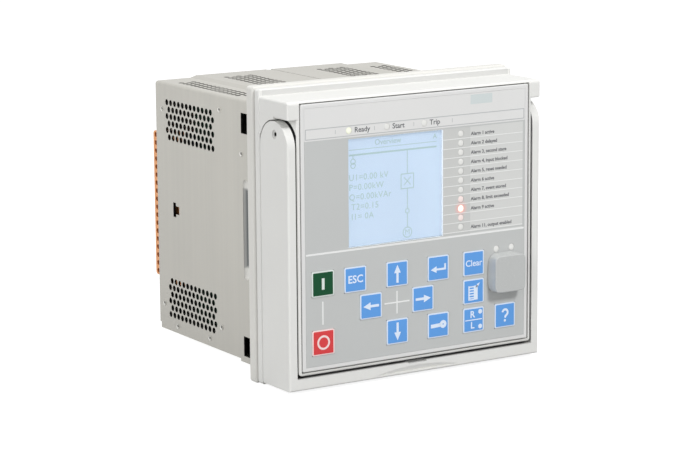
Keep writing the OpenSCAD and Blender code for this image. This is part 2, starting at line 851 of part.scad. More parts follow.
module front_foil() color(foil_grey) {
    plate_y(face_y, face_y + foil_t) difference() {
        translate([0, bezel_z]) square([foil_w, foil_h], center = true);
        panel_openings(lens_r + fit_gap);
    }
}

module display_window() color([0.8, 0.9, 0.98, 0.4]) {
    plate_y(face_y + window_set_back, face_y + window_set_back + window_t)
        translate([window_x, window_z])
            square([window_w - 2 * fit_gap, window_h - 2 * fit_gap], center = true);
}

module lcd_panel() color([0.8, 0.88, 0.96]) {
    plate_y(lcd_front, board_front)
        translate([window_x, window_z]) square([lcd_w, lcd_h], center = true);
}

module lens(x, z) {
    rod_y(x, z, face_y - lens_proud, board_front, lens_r);
}

module status_lenses() color([0.85, 0.92, 0.75]) {
    for (x = status_x) lens(x, status_z);
    for (x = port_lens_x) lens(x, port_lens_z);
}

module alarm_lenses() color([0.93, 0.9, 0.88]) {
    for (i = [0 : alarm_count - 1]) lens(alarm_x, alarm_top_z - i * alarm_pitch);
}

module display_board() color(board_green) {
    edge = 2;
    difference() {
        box([-cavity_x + edge, board_front, cavity_floor + edge],
            [cavity_x - edge, board_back, cavity_roof - edge]);
        plate_y(board_front - over, board_back + over)
            translate([port_x, port_z]) square([jack_w + 2 * fit_gap, jack_h + 2 * fit_gap], center = true);
    }
}

module key_mat() color([0.25, 0.26, 0.28]) {
    edge = 4;
    difference() {
        union() {
            box([-cavity_x + edge, board_front - mat_t, mat_floor_z],
                [cavity_x - edge, board_front, mat_top_z]);
            for (p = key_places) rod_y(p[0], p[1], dome_top, board_front - mat_t + over / 2, dome_r);
        }
        plate_y(dome_top - over, board_front + over) {
            translate([port_x, port_z])
                square([jack_w + 2 * slide_gap, jack_h + 2 * slide_gap], center = true);
            for (x = port_lens_x) translate([x, port_lens_z]) circle(lens_r + slide_gap);
        }
    }
}

module port_jack() color([0.2, 0.2, 0.22]) {
    translate([port_x, 0, port_z]) jack(jack_front, jack_l);
}

module pivot_pins() color("silver") {
    both_sides() difference() {
        union() {
            rod_x(pivot_y, pivot_z, cavity_x - fit_gap, head_x - pin_recess, pin_r);
            rod_x(pivot_y, pivot_z, cavity_x - fit_gap - pin_head_t, cavity_x - fit_gap, pin_head_r);
        }
        rod_x(pivot_y, pivot_z, head_x - pin_recess - pin_socket_l, head_x + over, pin_socket_r);
    }
}

// Push key with a retaining rim behind the bezel
module push_key(place, tint) color(tint) {
    translate([place[0], 0, place[1]]) {
        plate_y(face_y - key_proud, key_back)
            round_rect([-key_size / 2, -key_size / 2], [key_size / 2, key_size / 2], key_corner_r);
        plate_y(key_back - key_rim_t, key_back)
            square(key_size + 2 * key_rim_w, center = true);
    }
}

module key_close() push_key(key_close_at, key_green);
module key_open() push_key(key_open_at, key_red);
module key_escape() push_key(key_escape_at, key_blue);
module key_up() push_key(key_up_at, key_blue);
module key_left() push_key(key_left_at, key_blue);
module key_right() push_key(key_right_at, key_blue);
module key_down() push_key(key_down_at, key_blue);
module key_enter() push_key(key_enter_at, key_blue);
module key_lock() push_key(key_lock_at, key_blue);
module key_clear() push_key(key_clear_at, key_blue);
module key_menu() push_key(key_menu_at, key_blue);
module key_mode() push_key(key_mode_at, key_blue);
module key_help() push_key(key_help_at, key_blue);

module port_cover() color([0.74, 0.75, 0.75]) {
    corner_r = 4;
    front_r = 2.2;
    base_r = 6;
    base_grow = 1.2;
    base_l = 2.4;
    cover_back = face_y - slide_gap;
    base_x = cover_w / 2 + base_grow;
    base_z = cover_h / 2 + base_grow;
    translate([port_x, 0, port_z]) {
        soft_block([-cover_w / 2, face_y - cover_reach, -cover_h / 2], [cover_w / 2, cover_back, cover_h / 2],
            corner_r, front_r);
        plate_y(cover_back - base_l, cover_back) round_rect([-base_x, -base_z], [base_x, base_z], base_r);
        box([-spigot_w / 2, cover_back - over / 2, -spigot_h / 2],
            [spigot_w / 2, jack_front - slide_gap, spigot_h / 2]);
    }
}

// Handle

module arm_outline() {
    translate([arm_front, -handle_drop + bar_edge_r])
        square([arm_back - arm_front, handle_drop - bar_edge_r + arm_round_z]);
    round_rect([arm_front, -handle_drop], [arm_back, bar_top], bar_edge_r);
    translate([arm_mid_y, arm_round_z]) circle(arm_round_r, $fn = 96);
}

// Cut in the lower bar, deepest above its lip and running out into the front face above
module finger_scoop() {
    intersection() {
        translate([0, arm_front, -handle_drop + scoop_lip]) rotate([scoop_tilt, 0, 0])
            translate([0, scoop_depth - scoop_r, -bar_t]) cylinder(h = 3 * bar_t, r = scoop_r, $fn = 360);
        box([-head_x, arm_front - over, -handle_drop + scoop_lip], [head_x, arm_back, bar_top + over]);
    }
}

module handle() color(white_plastic) {
    difference() {
        intersection() {
            plate_x(-head_x, head_x) arm_outline();
            plate_z(-handle_drop - over, arm_top + over) rotate(90) mirror([0, 1])
                soft_front([arm_front, -head_x], [arm_back, head_x], handle_edge_r);
        }
        box([-arm_x, arm_front - over, bar_top], [arm_x, arm_back + over, arm_top + over]);
        both_sides() rod_x(pivot_y, pivot_z, arm_x - over, head_x + over, pin_r + pivot_gap);
        finger_scoop();
        box([-notch_w / 2, arm_front - over, bar_top - notch_h],
            [notch_w / 2, arm_front + notch_d, bar_top + over]);
    }
}

// Withdrawable unit: chassis, boards and components

module chassis_frame() color(zinc_sheet) {
    difference() {
        union() {
            box([-chassis_w / 2, chassis_front, -tray_z], [chassis_w / 2, chassis_front + sheet_t, tray_z]);
            for (z = [-tray_z, tray_z - sheet_t])
                box([-chassis_w / 2, chassis_front, z], [chassis_w / 2, tray_back, z + sheet_t]);
        }
        plate_y(chassis_front - over, chassis_front + sheet_t + over)
            square([cable_slot_w, cable_slot_h], center = true);
        for (x = [-1, 1], z = [-1, 1])
            rod_y(x * chassis_screw_x, z * chassis_screw_z, chassis_front - over,
                chassis_front + sheet_t + over, chassis_screw_r + fit_gap / 2);
    }
}

module chassis_screws() color("silver") {
    head_front = chassis_front + sheet_t;
    for (x = [-chassis_screw_x, chassis_screw_x], z = [-chassis_screw_z, chassis_screw_z]) {
        rod_y(x, z, base_back - chassis_screw_l + 2 * fit_gap, head_front, chassis_screw_r);
        rod_y(x, z, head_front, head_front + chassis_screw_head_h, chassis_screw_head_r);
    }
}

module upright_board(x) color(board_green) {
    box([x - board_t / 2, board_y, -board_z], [x + board_t / 2, tray_back, board_z]);
}

module power_board() upright_board(power_x);
module io_board() upright_board(io_x);
module analogue_board() upright_board(analogue_x);
module processor_board() upright_board(processor_x);

module capacitors() color([0.1, 0.12, 0.2]) {
    can_r = 7.5;
    can_l = 19;
    can_pitch = 17;
    first_y = board_y + 20;
    row_z = -48;
    cans = 3;
    x0 = power_x + board_t / 2;
    for (i = [0 : cans - 1])
        rod_x(first_y + i * can_pitch, row_z, x0, x0 + can_l, can_r);
}

module heat_sink() color("silver") {
    sink_l = 46;
    sink_h = 52;
    sink_z = -6;
    base = 3;
    fin_h = 14;
    fins = 6;
    fin_t = 1.6;
    fin_pitch = (sink_l - fin_t) / (fins - 1);
    translate([power_x + board_t / 2, board_y + 30, sink_z]) {
        cube([base, sink_l, sink_h]);
        for (i = [0 : fins - 1])
            translate([base - over / 2, i * fin_pitch, 0]) cube([fin_h, fin_t, sink_h]);
    }
}

module output_relays() color([0.15, 0.35, 0.6]) {
    relay = [15, 12, 28];
    relay_pitch = 17;
    row_pitch = 46;
    columns = 4;
    first = [io_x + board_t / 2, board_y + 22, -48];
    for (row = [0 : 1], i = [0 : columns - 1])
        translate(first + [0, i * relay_pitch, row * row_pitch]) cube(relay);
}

module input_transformers() color([0.35, 0.22, 0.12]) {
    core = [28, 26, 24];
    coil_r = 9;
    coil_h = 3;
    rows = 4;
    row_pitch = 31;
    first = [analogue_x + board_t / 2, board_y + 50, -60];
    for (row = [0 : rows - 1])
        translate(first + [0, 0, row * row_pitch]) {
            cube(core);
            translate([core[0], core[1] / 2, core[2] / 2]) rotate([0, 90, 0])
                cylinder(h = coil_h, r = coil_r);
        }
}

module processor_chips() color([0.12, 0.12, 0.13]) {
    face_x = processor_x - board_t / 2;
    chip = [2.4, 24, 24];
    memory = [1.6, 10, 18];
    memory_pitch = 14;
    memories = 3;
    translate([face_x - chip[0], board_y + 40, 10]) cube(chip);
    for (i = [0 : memories - 1])
        translate([face_x - memory[0], board_y + 36 + i * memory_pitch, -24]) cube(memory);
}

module board_plugs() color([0.2, 0.2, 0.22]) {
    for (x = [power_x, io_x, analogue_x, processor_x]) difference() {
        box([x - board_plug_w / 2, chassis_back - board_plug_l, -board_plug_h / 2],
            [x + board_plug_w / 2, chassis_back, board_plug_h / 2]);
        box([x - board_t / 2, chassis_back - board_plug_l - over, -board_plug_h / 2 - over],
            [x + board_t / 2, tray_back, board_plug_h / 2 + over]);
    }
}

// Pluggable connectors

function pole_z(i) = plug_z + (i - (plug_poles - 1) / 2) * pole_pitch;

module pluggable(x) color(plug_orange) {
    difference() {
        plate_x(x - plug_w / 2, x + plug_w / 2) mirror([1, 0]) soft_front(
            [-plug_back, plug_z - plug_h / 2], [-plug_front, plug_z + plug_h / 2], plug_corner_r);
        for (i = [0 : plug_poles - 1]) {
            rod_x(plug_screw_y, pole_z(i), x - plug_w / 2 - over, x - plug_w / 2 + plug_screw_l,
                plug_screw_r + fit_gap);
            box([x - plug_wire_w / 4, plug_back - plug_wire_l, pole_z(i) - plug_wire_w / 2],
                [x + plug_wire_w, plug_back + over, pole_z(i) + plug_wire_w / 2]);
        }
    }
}

module pluggable_screws(x) color("silver") {
    for (i = [0 : plug_poles - 1])
        rod_x(plug_screw_y, pole_z(i), x - plug_w / 2 + plug_screw_inset, x - plug_w / 2 + plug_screw_l,
            plug_screw_r);
}

module plug_left() pluggable(power_x);
module plug_mid() pluggable(io_x);
module plug_left_screws() pluggable_screws(power_x);
module plug_mid_screws() pluggable_screws(io_x);

mounting_flange();
front_seal();
case_left_sheet();
case_right_sheet();
case_top_left();
case_top_right();
case_bottom_sheet();
case_rear_sheet();
case_rivets();
flange_screws();
guide_rails();
plug_sockets();
analogue_block();
rear_screws();
comm_plate();
comm_jacks();
earth_screw();
front_housing();
bezel();
front_foil();
display_window();
lcd_panel();
status_lenses();
alarm_lenses();
display_board();
key_mat();
port_jack();
pivot_pins();
chassis_frame();
chassis_screws();
power_board();
io_board();
analogue_board();
processor_board();
capacitors();
heat_sink();
output_relays();
input_transformers();
processor_chips();
board_plugs();
handle();
port_cover();
key_close();
key_open();
key_escape();
key_up();
key_left();
key_right();
key_down();
key_enter();
key_lock();
key_clear();
key_menu();
key_mode();
key_help();
plug_left();
plug_left_screws();
plug_mid();
plug_mid_screws();
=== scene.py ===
"""Finishes, printed panel and stage of a flush-mounted protection relay.

Shapes are worked out in millimetres in the part's own frame: x to the right, y to the rear, z up.
"""

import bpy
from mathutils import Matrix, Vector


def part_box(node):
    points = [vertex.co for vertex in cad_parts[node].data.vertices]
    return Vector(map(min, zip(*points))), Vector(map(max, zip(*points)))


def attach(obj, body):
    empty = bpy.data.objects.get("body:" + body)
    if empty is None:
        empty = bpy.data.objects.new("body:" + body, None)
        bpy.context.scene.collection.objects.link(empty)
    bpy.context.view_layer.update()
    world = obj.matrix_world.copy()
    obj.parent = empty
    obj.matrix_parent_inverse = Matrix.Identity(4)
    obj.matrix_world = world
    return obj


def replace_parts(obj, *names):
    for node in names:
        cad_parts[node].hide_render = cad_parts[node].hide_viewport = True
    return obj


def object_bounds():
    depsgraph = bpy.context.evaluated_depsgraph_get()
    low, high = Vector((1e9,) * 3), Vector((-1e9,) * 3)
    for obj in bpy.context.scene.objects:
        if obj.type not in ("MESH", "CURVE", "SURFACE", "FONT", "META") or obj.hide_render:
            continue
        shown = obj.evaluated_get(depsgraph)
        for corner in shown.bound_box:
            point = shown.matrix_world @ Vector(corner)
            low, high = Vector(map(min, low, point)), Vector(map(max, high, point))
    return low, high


bl_info = {
    "name": "Protection relay looks",
    "version": (1, 0, 0),
    "blender": (4, 5, 0),
    "location": "3D View > Sidebar > Relay",
    "description": "Finishes, printed panel and stage of a flush-mounted protection relay",
    "category": "Object",
}

import bmesh
import bpy
import numpy as np
from bpy.props import FloatProperty, FloatVectorProperty, PointerProperty
from mathutils import Matrix, Vector

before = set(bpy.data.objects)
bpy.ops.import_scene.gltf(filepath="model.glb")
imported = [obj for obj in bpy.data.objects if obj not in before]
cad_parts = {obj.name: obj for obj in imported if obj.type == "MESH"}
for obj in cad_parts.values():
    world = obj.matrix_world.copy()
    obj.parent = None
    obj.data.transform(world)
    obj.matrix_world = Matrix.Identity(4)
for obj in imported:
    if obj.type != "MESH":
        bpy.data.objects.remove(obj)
cad_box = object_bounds()

MM = 0.001


def paint(red, green, blue):
    """Screen colour of 0 to 255 a channel as the linear colour that shaders take."""
    share = np.array([red, green, blue]) / 255
    linear = np.where(share <= 0.04045, share / 12.92, ((share + 0.055) / 1.055) ** 2.4)
    return tuple(linear.tolist())


def cad_mm(node):
    """Lowest and highest corner of a part of the frame, in millimetres."""
    low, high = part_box(node)
    return np.array(low) / MM, np.array(high) / MM


# Places taken from the frame

FOIL_LOW, FOIL_HIGH = cad_mm("front_foil")
FACE_Y = float(FOIL_LOW[1])
WINDOW_LOW, WINDOW_HIGH = cad_mm("display_window")
BEZEL_LOW, BEZEL_HIGH = cad_mm("bezel")
BEZEL_MID_Z = float(BEZEL_LOW[2] + BEZEL_HIGH[2]) / 2
BEZEL_H = float(BEZEL_HIGH[2] - BEZEL_LOW[2])
LOWEST_Z = float(cad_box[0][2])

# Panel print and lenses

STATUS_X = (-46.9, -21.1, 4.7)
STATUS_Z = 62.7
STATUS_WORDS = ("Ready", "Start", "Trip")
STATUS_WORD_GAP = 3.7
TICK_X = (-56.0, -29.6, -2.6, 24.3)
TICK_HALF = 1.2
PORT_LAMP_X = (56.2, 67.2)
PORT_LAMP_Z = -17.3
ALARM_X = 30.5
ALARM_TOP_Z = 54.2
ALARM_PITCH = 5.55
ALARM_LABELS = (
    "Alarm 1 active", "Alarm 2 delayed", "Alarm 3, second stage", "Alarm 4, input blocked",
    "Alarm 5, reset needed", "Alarm 6 active", "Alarm 7, event stored", "Alarm 8, limit exceeded",
    "Alarm 9 active", "", "Alarm 11, output enabled",
)
ALARM_COUNT = len(ALARM_LABELS)
ALARM_EDGE_Z = (58.2, -5.0)
ALARM_EDGE_W = 0.7
LABEL_INSET = 0.4
LABEL_DROP = 0.6
LIT_ALARM = 9
LENS_R = 1.9
HALO_REACH = 5.2
STRIP_LOW_Z = 59.7
STRIP_HIGH_Z = 65.4
STRIP_END_X = 75.8
FIELD_HIGH_Z = 58.7
FIELD_LOW_Z = -6.5
CARD_LEFT_X = 37.2
CARD_RIGHT_X = 75.1
PLATE_LEFT_X = 37.3
PLATE_RIGHT_X = 52.9
PLATE_LOW_Z = 71.0
PLATE_HIGH_Z = 76.6
LINE_INSET = 0.4
INK_BED = 0.02
WORD_BOLD = 0.05
LABEL_BOLD = 0.06
CAP_SHARE = 0.7

# Display film, its caption and its glowing margin of painted light

FILM_GAP = 0.06
FILM_T = 0.2
CAPTION_H = 3.2
MARGIN_OUT = 0.05
MARGIN_W = 0.06

# Keys and port cover

KEY_HALF = 7.42
KEY_CORNER_R = 0.9
KEY_FIELD_R = 0.5
KEY_FIELD_RISE = 0.05
SPIGOT_W = 16.4
SPIGOT_H = 14.0

# Housing with its band of painted shade, gaps round its core with sheets of painted shade, and pins

SHADE_BAND_X = 86.0
SHADE_BAND_LOW_Z = 82.2
SHADE_BAND_HIGH_Z = 85.4
CORE_X = 81.6
CORE_FLOOR_Z = -76.7
SHADE_SHEET_T = 0.2
SHADE_SHEET_FRONT_Y = -41.9
SHADE_SHEET_BACK_Y = -12.8
ARM_MID_Y = -27.65
ARM_ROUND_Z = 54.8
POCKET_R = 16.2
PIVOT_Y = -28.7
PIVOT_Z = 62.3
PIN_END_X = 87.1
PIN_SOCKET_R = 1.27

# Holes in the sheets and in the connectors, and the shade painted in them

SHEET_SKIN = 0.12
HOLE_INSET = 0.15
# Painted shade in the holes of the case sheets
PAINTED_HOLE_SHADE = paint(24, 24, 25)
# Painted shade inside the plugs
PAINTED_PLUG_SHADE = paint(196, 118, 62)

# Lights: name, place, size and power

LIGHTS = (
    ("light_key", (0.22, -1.45, 1.3), 0.4, 22.8),
    ("light_above", (0.0, 0.05, 1.6), 1.2, 7.3),
    ("light_left", (-1.9, -0.4, 0.7), 1.2, 18.5),
)


# Shapes

def carried(rings, closed=False):
    """Surface of a closed profile carried along a path: row r, column c is point c of the profile
    at place r. Quads join neighbours; an open path ends in one flat face at each end."""
    rows, columns, _ = rings.shape
    steps = rows if closed else rows - 1
    row = np.arange(steps)[:, None]
    column = np.arange(columns)[None, :]
    next_row = (row + 1) % rows
    next_column = (column + 1) % columns
    corners = [
        row * columns + column,
        row * columns + next_column,
        next_row * columns + next_column,
        next_row * columns + column,
    ]
    faces = np.stack(np.broadcast_arrays(*corners), axis=-1).reshape(-1, 4).tolist()
    if not closed:
        faces.append(np.arange(columns)[::-1].tolist())
        faces.append((np.arange(columns) + (rows - 1) * columns).tolist())
    return rings.reshape(-1, 3), faces


def round_rect(half_w, half_h, radius, steps=6):
    """Outline of four quarter circles about the corner centres, run counter-clockwise from the right."""
    start = np.arange(4)[:, None] * np.pi / 2
    angle = start + np.linspace(0, np.pi / 2, steps + 1)[None, :]
    side_x = np.array([1, -1, -1, 1])[:, None]
    side_z = np.array([1, 1, -1, -1])[:, None]
    x = side_x * (half_w - radius) + radius * np.cos(angle)
    z = side_z * (half_h - radius) + radius * np.sin(angle)
    return np.stack([x.ravel(), z.ravel()], axis=1)


def circle(radius, steps=32):
    """Outline at radius times cosine and sine of one full turn."""
    angle = np.arange(steps) * 2 * np.pi / steps
    return radius * np.stack([np.cos(angle), np.sin(angle)], axis=1)


def lofted(outline, centre, scales, depths):
    """Outline scaled about its centre by each scale and stood at the depth of the same place."""
    scales = np.asarray(scales, float)[:, None]
    rings = np.empty((len(scales), len(outline), 3))
    rings[:, :, 0] = centre[0] + scales * outline[None, :, 0]
    rings[:, :, 1] = np.asarray(depths, float)[:, None]
    rings[:, :, 2] = centre[1] + scales * outline[None, :, 1]
    return carried(rings)


def slab(outline, centre, back, front):
    """Outline carried straight from back to front."""
    return lofted(outline, centre, [1, 1], [back, front])


def cushion(outline, centre, back, front, crown, steps=8):
    """Outline carried from back to front and drawn in over a crown: at angle a of nearly a quarter
    turn it is scaled by cosine a and stands crown times sine a further forward."""
    last_turn = 0.48 * np.pi
    angle = np.linspace(0, last_turn, steps)
    scales = np.concatenate([[1], np.cos(angle)])
    depths = np.concatenate([[back], front - crown * np.sin(angle)])
    return lofted(outline, centre, scales, depths)


def ribbon(path, width, back, front, closed=False):
    """Flat band along a path: each point is moved half the width to both sides along the mitre of
    its two neighbouring stretches, and the four-sided section is carried along the path."""
    path = np.asarray(path, float)
    stretch = np.roll(path, -1, axis=0) - path
    if not closed:
        stretch[-1] = stretch[-2]
    ahead = stretch / np.linalg.norm(stretch, axis=1, keepdims=True)
    behind = np.roll(ahead, 1, axis=0)
    if not closed:
        behind[0] = ahead[0]
    normal_ahead = np.stack([-ahead[:, 1], ahead[:, 0]], axis=1)
    normal_behind = np.stack([-behind[:, 1], behind[:, 0]], axis=1)
    meeting = 1 + np.sum(normal_ahead * normal_behind, axis=1, keepdims=True)
    mitre = (normal_ahead + normal_behind) / meeting * width / 2
    left = path + mitre
    right = path - mitre
    section = np.stack([left, right, right, left], axis=1)
    depth = np.broadcast_to(np.array([front, front, back, back]), section.shape[:2])
    rings = np.stack([section[:, :, 0], depth, section[:, :, 1]], axis=-1)
    return carried(rings, closed)


def superellipse(half_w, half_h, power, steps=96):
    """Outline at half sizes times cosine and sine of one turn, each raised to two over the power:
    power two is an ellipse, and a higher power is squarer."""
    angle = np.arange(steps) * 2 * np.pi / steps
    wave = np.stack([np.cos(angle), np.sin(angle)], axis=1)
    return np.array([half_w, half_h]) * np.sign(wave) * np.abs(wave) ** (2 / power)


def turned_left(part):
    """Shape drawn for the front, turned a quarter about z so that it faces left."""
    points, faces = part
    return np.stack([points[:, 1], -points[:, 0], points[:, 2]], axis=1), faces


def turned_right(part):
    """Shape drawn for the front, turned a quarter about z so that it faces right."""
    points, faces = part
    return np.stack([-points[:, 1], points[:, 0], points[:, 2]], axis=1), faces


TURNS = ((turned_left, -1), (turned_right, 1))
SQUARE = np.array([(-1, -1), (1, -1), (1, 1), (-1, 1)])


def lettering(text, cap_height, place, back, front, align="CENTER", bold=0.0, spacing=1.0):
    """Letters of the built-in font, their strokes widened by bold at each side and set apart by the
    spacing, made a mesh, then stood upright on the panel at their place."""
    weld_share = 1e-4
    curve = bpy.data.curves.new("letters", "FONT")
    curve.body = text
    curve.align_x = align
    curve.align_y = "CENTER"
    curve.size = cap_height / CAP_SHARE
    curve.resolution_u = 3
    curve.space_character = spacing
    curve.offset = bold
    curve.extrude = (back - front) / 2
    carrier = bpy.data.objects.new("letters", curve)
    bpy.context.scene.collection.objects.link(carrier)
    bpy.context.view_layer.update()
    mesh = bpy.data.meshes.new_from_object(carrier.evaluated_get(bpy.context.evaluated_depsgraph_get()))
    bpy.data.objects.remove(carrier)
    bpy.data.curves.remove(curve)
    shape = bmesh.new()
    shape.from_mesh(mesh)
    bmesh.ops.remove_doubles(shape, verts=shape.verts, dist=cap_height * weld_share)
    shape.to_mesh(mesh)
    shape.free()
    flat = np.empty(len(mesh.vertices) * 3)
    mesh.vertices.foreach_get("co", flat)
    flat = flat.reshape(-1, 3)
    depth = (back + front) / 2 - flat[:, 2]
    points = np.stack([flat[:, 0] + place[0], depth, flat[:, 1] + place[1]], axis=1)
    faces = [list(polygon.vertices) for polygon in mesh.polygons]
    bpy.data.meshes.remove(mesh)
    return points, faces


def make_piece(name, parts, material, body, smooth_angle=0.6):
    """One mesh object of all parts, at the origin, that moves with a body of the frame."""
    points = []
    faces = []
    count = 0
    for part_points, part_faces in parts:
        points.append(part_points)
        faces.extend([[index + count for index in face] for face in part_faces])
        count += len(part_points)
    mesh = bpy.data.meshes.new(name)
    mesh.from_pydata((np.concatenate(points) * MM).tolist(), [], faces)
    mesh.polygons.foreach_set("use_smooth", [True] * len(mesh.polygons))
    mesh.set_sharp_from_angle(angle=smooth_angle)
    mesh.materials.append(material)
    piece = bpy.data.objects.new(name, mesh)
    bpy.context.scene.collection.objects.link(piece)
    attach(piece, body)
    return piece


# Materials

def node_group(name, inputs, outputs):
    """Empty shader node group with its sockets, and its input and output nodes."""
    group = bpy.data.node_groups.new(name, "ShaderNodeTree")
    for label, kind, value in inputs:
        socket = group.interface.new_socket(label, in_out="INPUT", socket_type=kind)
        socket.default_value = value
    for label, kind in outputs:
        group.interface.new_socket(label, in_out="OUTPUT", socket_type=kind)
    return group, group.nodes.new("NodeGroupInput"), group.nodes.new("NodeGroupOutput")


def noise(tree, vector, scale, detail):
    """Noise texture on the given coordinates."""
    node = tree.nodes.new("ShaderNodeTexNoise")
    node.inputs["Scale"].default_value = scale
    node.inputs["Detail"].default_value = detail
    tree.links.new(vector, node.inputs["Vector"])
    return node.outputs["Fac"]


def math(tree, operation, first, second):
    """Math node; each input is a socket or a number."""
    node = tree.nodes.new("ShaderNodeMath")
    node.operation = operation
    for index, value in enumerate((first, second)):
        if isinstance(value, bpy.types.NodeSocket):
            tree.links.new(value, node.inputs[index])
        else:
            node.inputs[index].default_value = value
    return node.outputs[0]


def toned(tree, colour, amount, shade):
    """Colour made lighter and darker by shade as amount runs about one half."""
    swing = math(tree, "MULTIPLY", math(tree, "SUBTRACT", amount, 0.5), shade)
    node = tree.nodes.new("ShaderNodeHueSaturation")
    tree.links.new(math(tree, "ADD", swing, 1.0), node.inputs["Value"])
    tree.links.new(colour, node.inputs["Color"])
    return node.outputs["Color"]


def object_place(tree):
    """Place on the piece, as a vector and as its x, y and z."""
    place = tree.nodes.new("ShaderNodeTexCoord").outputs["Object"]
    split = tree.nodes.new("ShaderNodeSeparateXYZ")
    tree.links.new(place, split.inputs[0])
    return place, split.outputs


SKIN_OUTPUTS = (
    ("Colour", "NodeSocketColor"),
    ("Roughness", "NodeSocketFloat"),
    ("Height", "NodeSocketFloat"),
)


def give_skin(group, given, result, tone, grain, gloss_swing):
    """Outputs of a skin: its colour shaded by the tone, and gloss and height that follow the grain."""
    shaded = toned(group, given.outputs["Colour"], tone, given.outputs["Shade"])
    group.links.new(shaded, result.inputs["Colour"])
    gloss = math(group, "MULTIPLY", math(group, "SUBTRACT", grain, 0.5), gloss_swing)
    group.links.new(math(group, "ADD", gloss, given.outputs["Roughness"]), result.inputs["Roughness"])
    group.links.new(grain, result.inputs["Height"])


def build_skin_group():
    """Moulded skin: fine even grain in height and gloss, with a faint broad change of tone."""
    group, given, result = node_group(
        "Moulded skin",
        [
            ("Colour", "NodeSocketColor", (0.8, 0.8, 0.8, 1)),
            ("Shade", "NodeSocketFloat", 0.06),
            ("Roughness", "NodeSocketFloat", 0.5),
            ("Grain", "NodeSocketFloat", 1500.0),
        ],
        SKIN_OUTPUTS,
    )
    place = group.nodes.new("ShaderNodeTexCoord").outputs["Object"]
    broad = noise(group, place, scale=24.0, detail=3.0)
    fine = noise(group, place, scale=1500.0, detail=2.0)
    group.links.new(given.outputs["Grain"], fine.node.inputs["Scale"])
    give_skin(group, given, result, broad, fine, gloss_swing=0.16)
    return group


def build_sheet_group():
    """Rolled sheet: long upright streaks in tone, gloss and height, over a faint cloudy tone, with painted
    light that makes it paler upwards."""
    group, given, result = node_group(
        "Rolled sheet",
        [
            ("Colour", "NodeSocketColor", (0.6, 0.6, 0.6, 1)),
            ("Shade", "NodeSocketFloat", 0.2),
            ("Roughness", "NodeSocketFloat", 0.4),
        ],
        SKIN_OUTPUTS,
    )
    upright_share = 0.012
    streak_share = 0.65
    painted_light_per_metre = 4.0
    place, split = object_place(group)
    stretch = group.nodes.new("ShaderNodeVectorMath")
    stretch.operation = "MULTIPLY"
    stretch.inputs[1].default_value = (1.0, 1.0, upright_share)
    group.links.new(place, stretch.inputs[0])
    streak = noise(group, stretch.outputs[0], scale=350.0, detail=4.0)
    cloud = noise(group, place, scale=18.0, detail=2.0)
    streaks = math(group, "MULTIPLY", streak, streak_share)
    clouds = math(group, "MULTIPLY", cloud, 1 - streak_share)
    # Painted light: the tone grows paler upwards.
    rise = math(group, "MULTIPLY", split["Z"], painted_light_per_metre)
    tone = math(group, "ADD", math(group, "ADD", streaks, clouds), rise)
    give_skin(group, given, result, tone, streak, gloss_swing=0.3)
    return group


def build_zone_group():
    """Zone mask: nought outside a box given by its sides in x, y and z, rising over the blend to one
    inside."""
    far = 10.0
    axes = (("X", "Left", "Right"), ("Y", "Front", "Rear"), ("Z", "Low", "High"))
    sides = [("Blend", "NodeSocketFloat", 0.01 * MM)]
    for _, low, high in axes:
        sides += [(low, "NodeSocketFloat", -far), (high, "NodeSocketFloat", far)]
    group, given, result = node_group("Zone mask", sides, [("Mask", "NodeSocketFloat")])
    _, split = object_place(group)
    nearest = far
    for axis, low, high in axes:
        above = math(group, "SUBTRACT", split[axis], given.outputs[low])
        below = math(group, "SUBTRACT", given.outputs[high], split[axis])
        nearest = math(group, "MINIMUM", nearest, math(group, "MINIMUM", above, below))
    share = math(group, "DIVIDE", math(group, "MAXIMUM", nearest, 0.0), given.outputs["Blend"])
    group.links.new(math(group, "MINIMUM", share, 1.0), result.inputs["Mask"])
    return group


def build_spot_group():
    """Round spot: one at a point of the panel, falling evenly to nought at the given reach."""
    group, given, result = node_group(
        "Round spot",
        [(name, "NodeSocketFloat", 0.0) for name in ("X", "Z", "Reach")],
        [("Mask", "NodeSocketFloat")],
    )
    _, split = object_place(group)
    across = math(group, "SUBTRACT", split["X"], given.outputs["X"])
    up = math(group, "SUBTRACT", split["Z"], given.outputs["Z"])
    square = math(group, "ADD", math(group, "MULTIPLY", across, across), math(group, "MULTIPLY", up, up))
    share = math(group, "DIVIDE", math(group, "SQRT", square, 0.0), given.outputs["Reach"])
    left = math(group, "SUBTRACT", 1.0, share)
    group.links.new(math(group, "MAXIMUM", left, 0.0), result.inputs["Mask"])
    return group


BUILDERS = {
    "Moulded skin": build_skin_group,
    "Rolled sheet": build_sheet_group,
    "Zone mask": build_zone_group,
    "Round spot": build_spot_group,
}


def use_group(tree, name, **values):
    """Group node of a shared group, built at its first use, with the given inputs set."""
    group = bpy.data.node_groups.get(name) or BUILDERS[name]()
    node = tree.nodes.new("ShaderNodeGroup")
    node.node_tree = group
    for label, value in values.items():
        node.inputs[label].default_value = value
    return node


FINISHES = {}


def new_material(name):
    """Material with its node tree and its principled shader, kept by its name for the next use."""
    material = bpy.data.materials.new(f"relay_{name}")
    material.use_nodes = True
    FINISHES[name] = material
    tree = material.node_tree
    return material, tree, tree.nodes["Principled BSDF"]


SKIN_BUMP = 0.01 * MM
SHEET_BUMP = 0.006 * MM


def wear_skin(tree, shader, skin, bump=0.0):
    """Colour and gloss of a skin on the shader, and its height as a bump of the given metres."""
    tree.links.new(skin.outputs["Colour"], shader.inputs["Base Color"])
    tree.links.new(skin.outputs["Roughness"], shader.inputs["Roughness"])
    if bump:
        relief = tree.nodes.new("ShaderNodeBump")
        relief.inputs["Distance"].default_value = bump
        tree.links.new(skin.outputs["Height"], relief.inputs["Height"])
        tree.links.new(relief.outputs["Normal"], shader.inputs["Normal"])


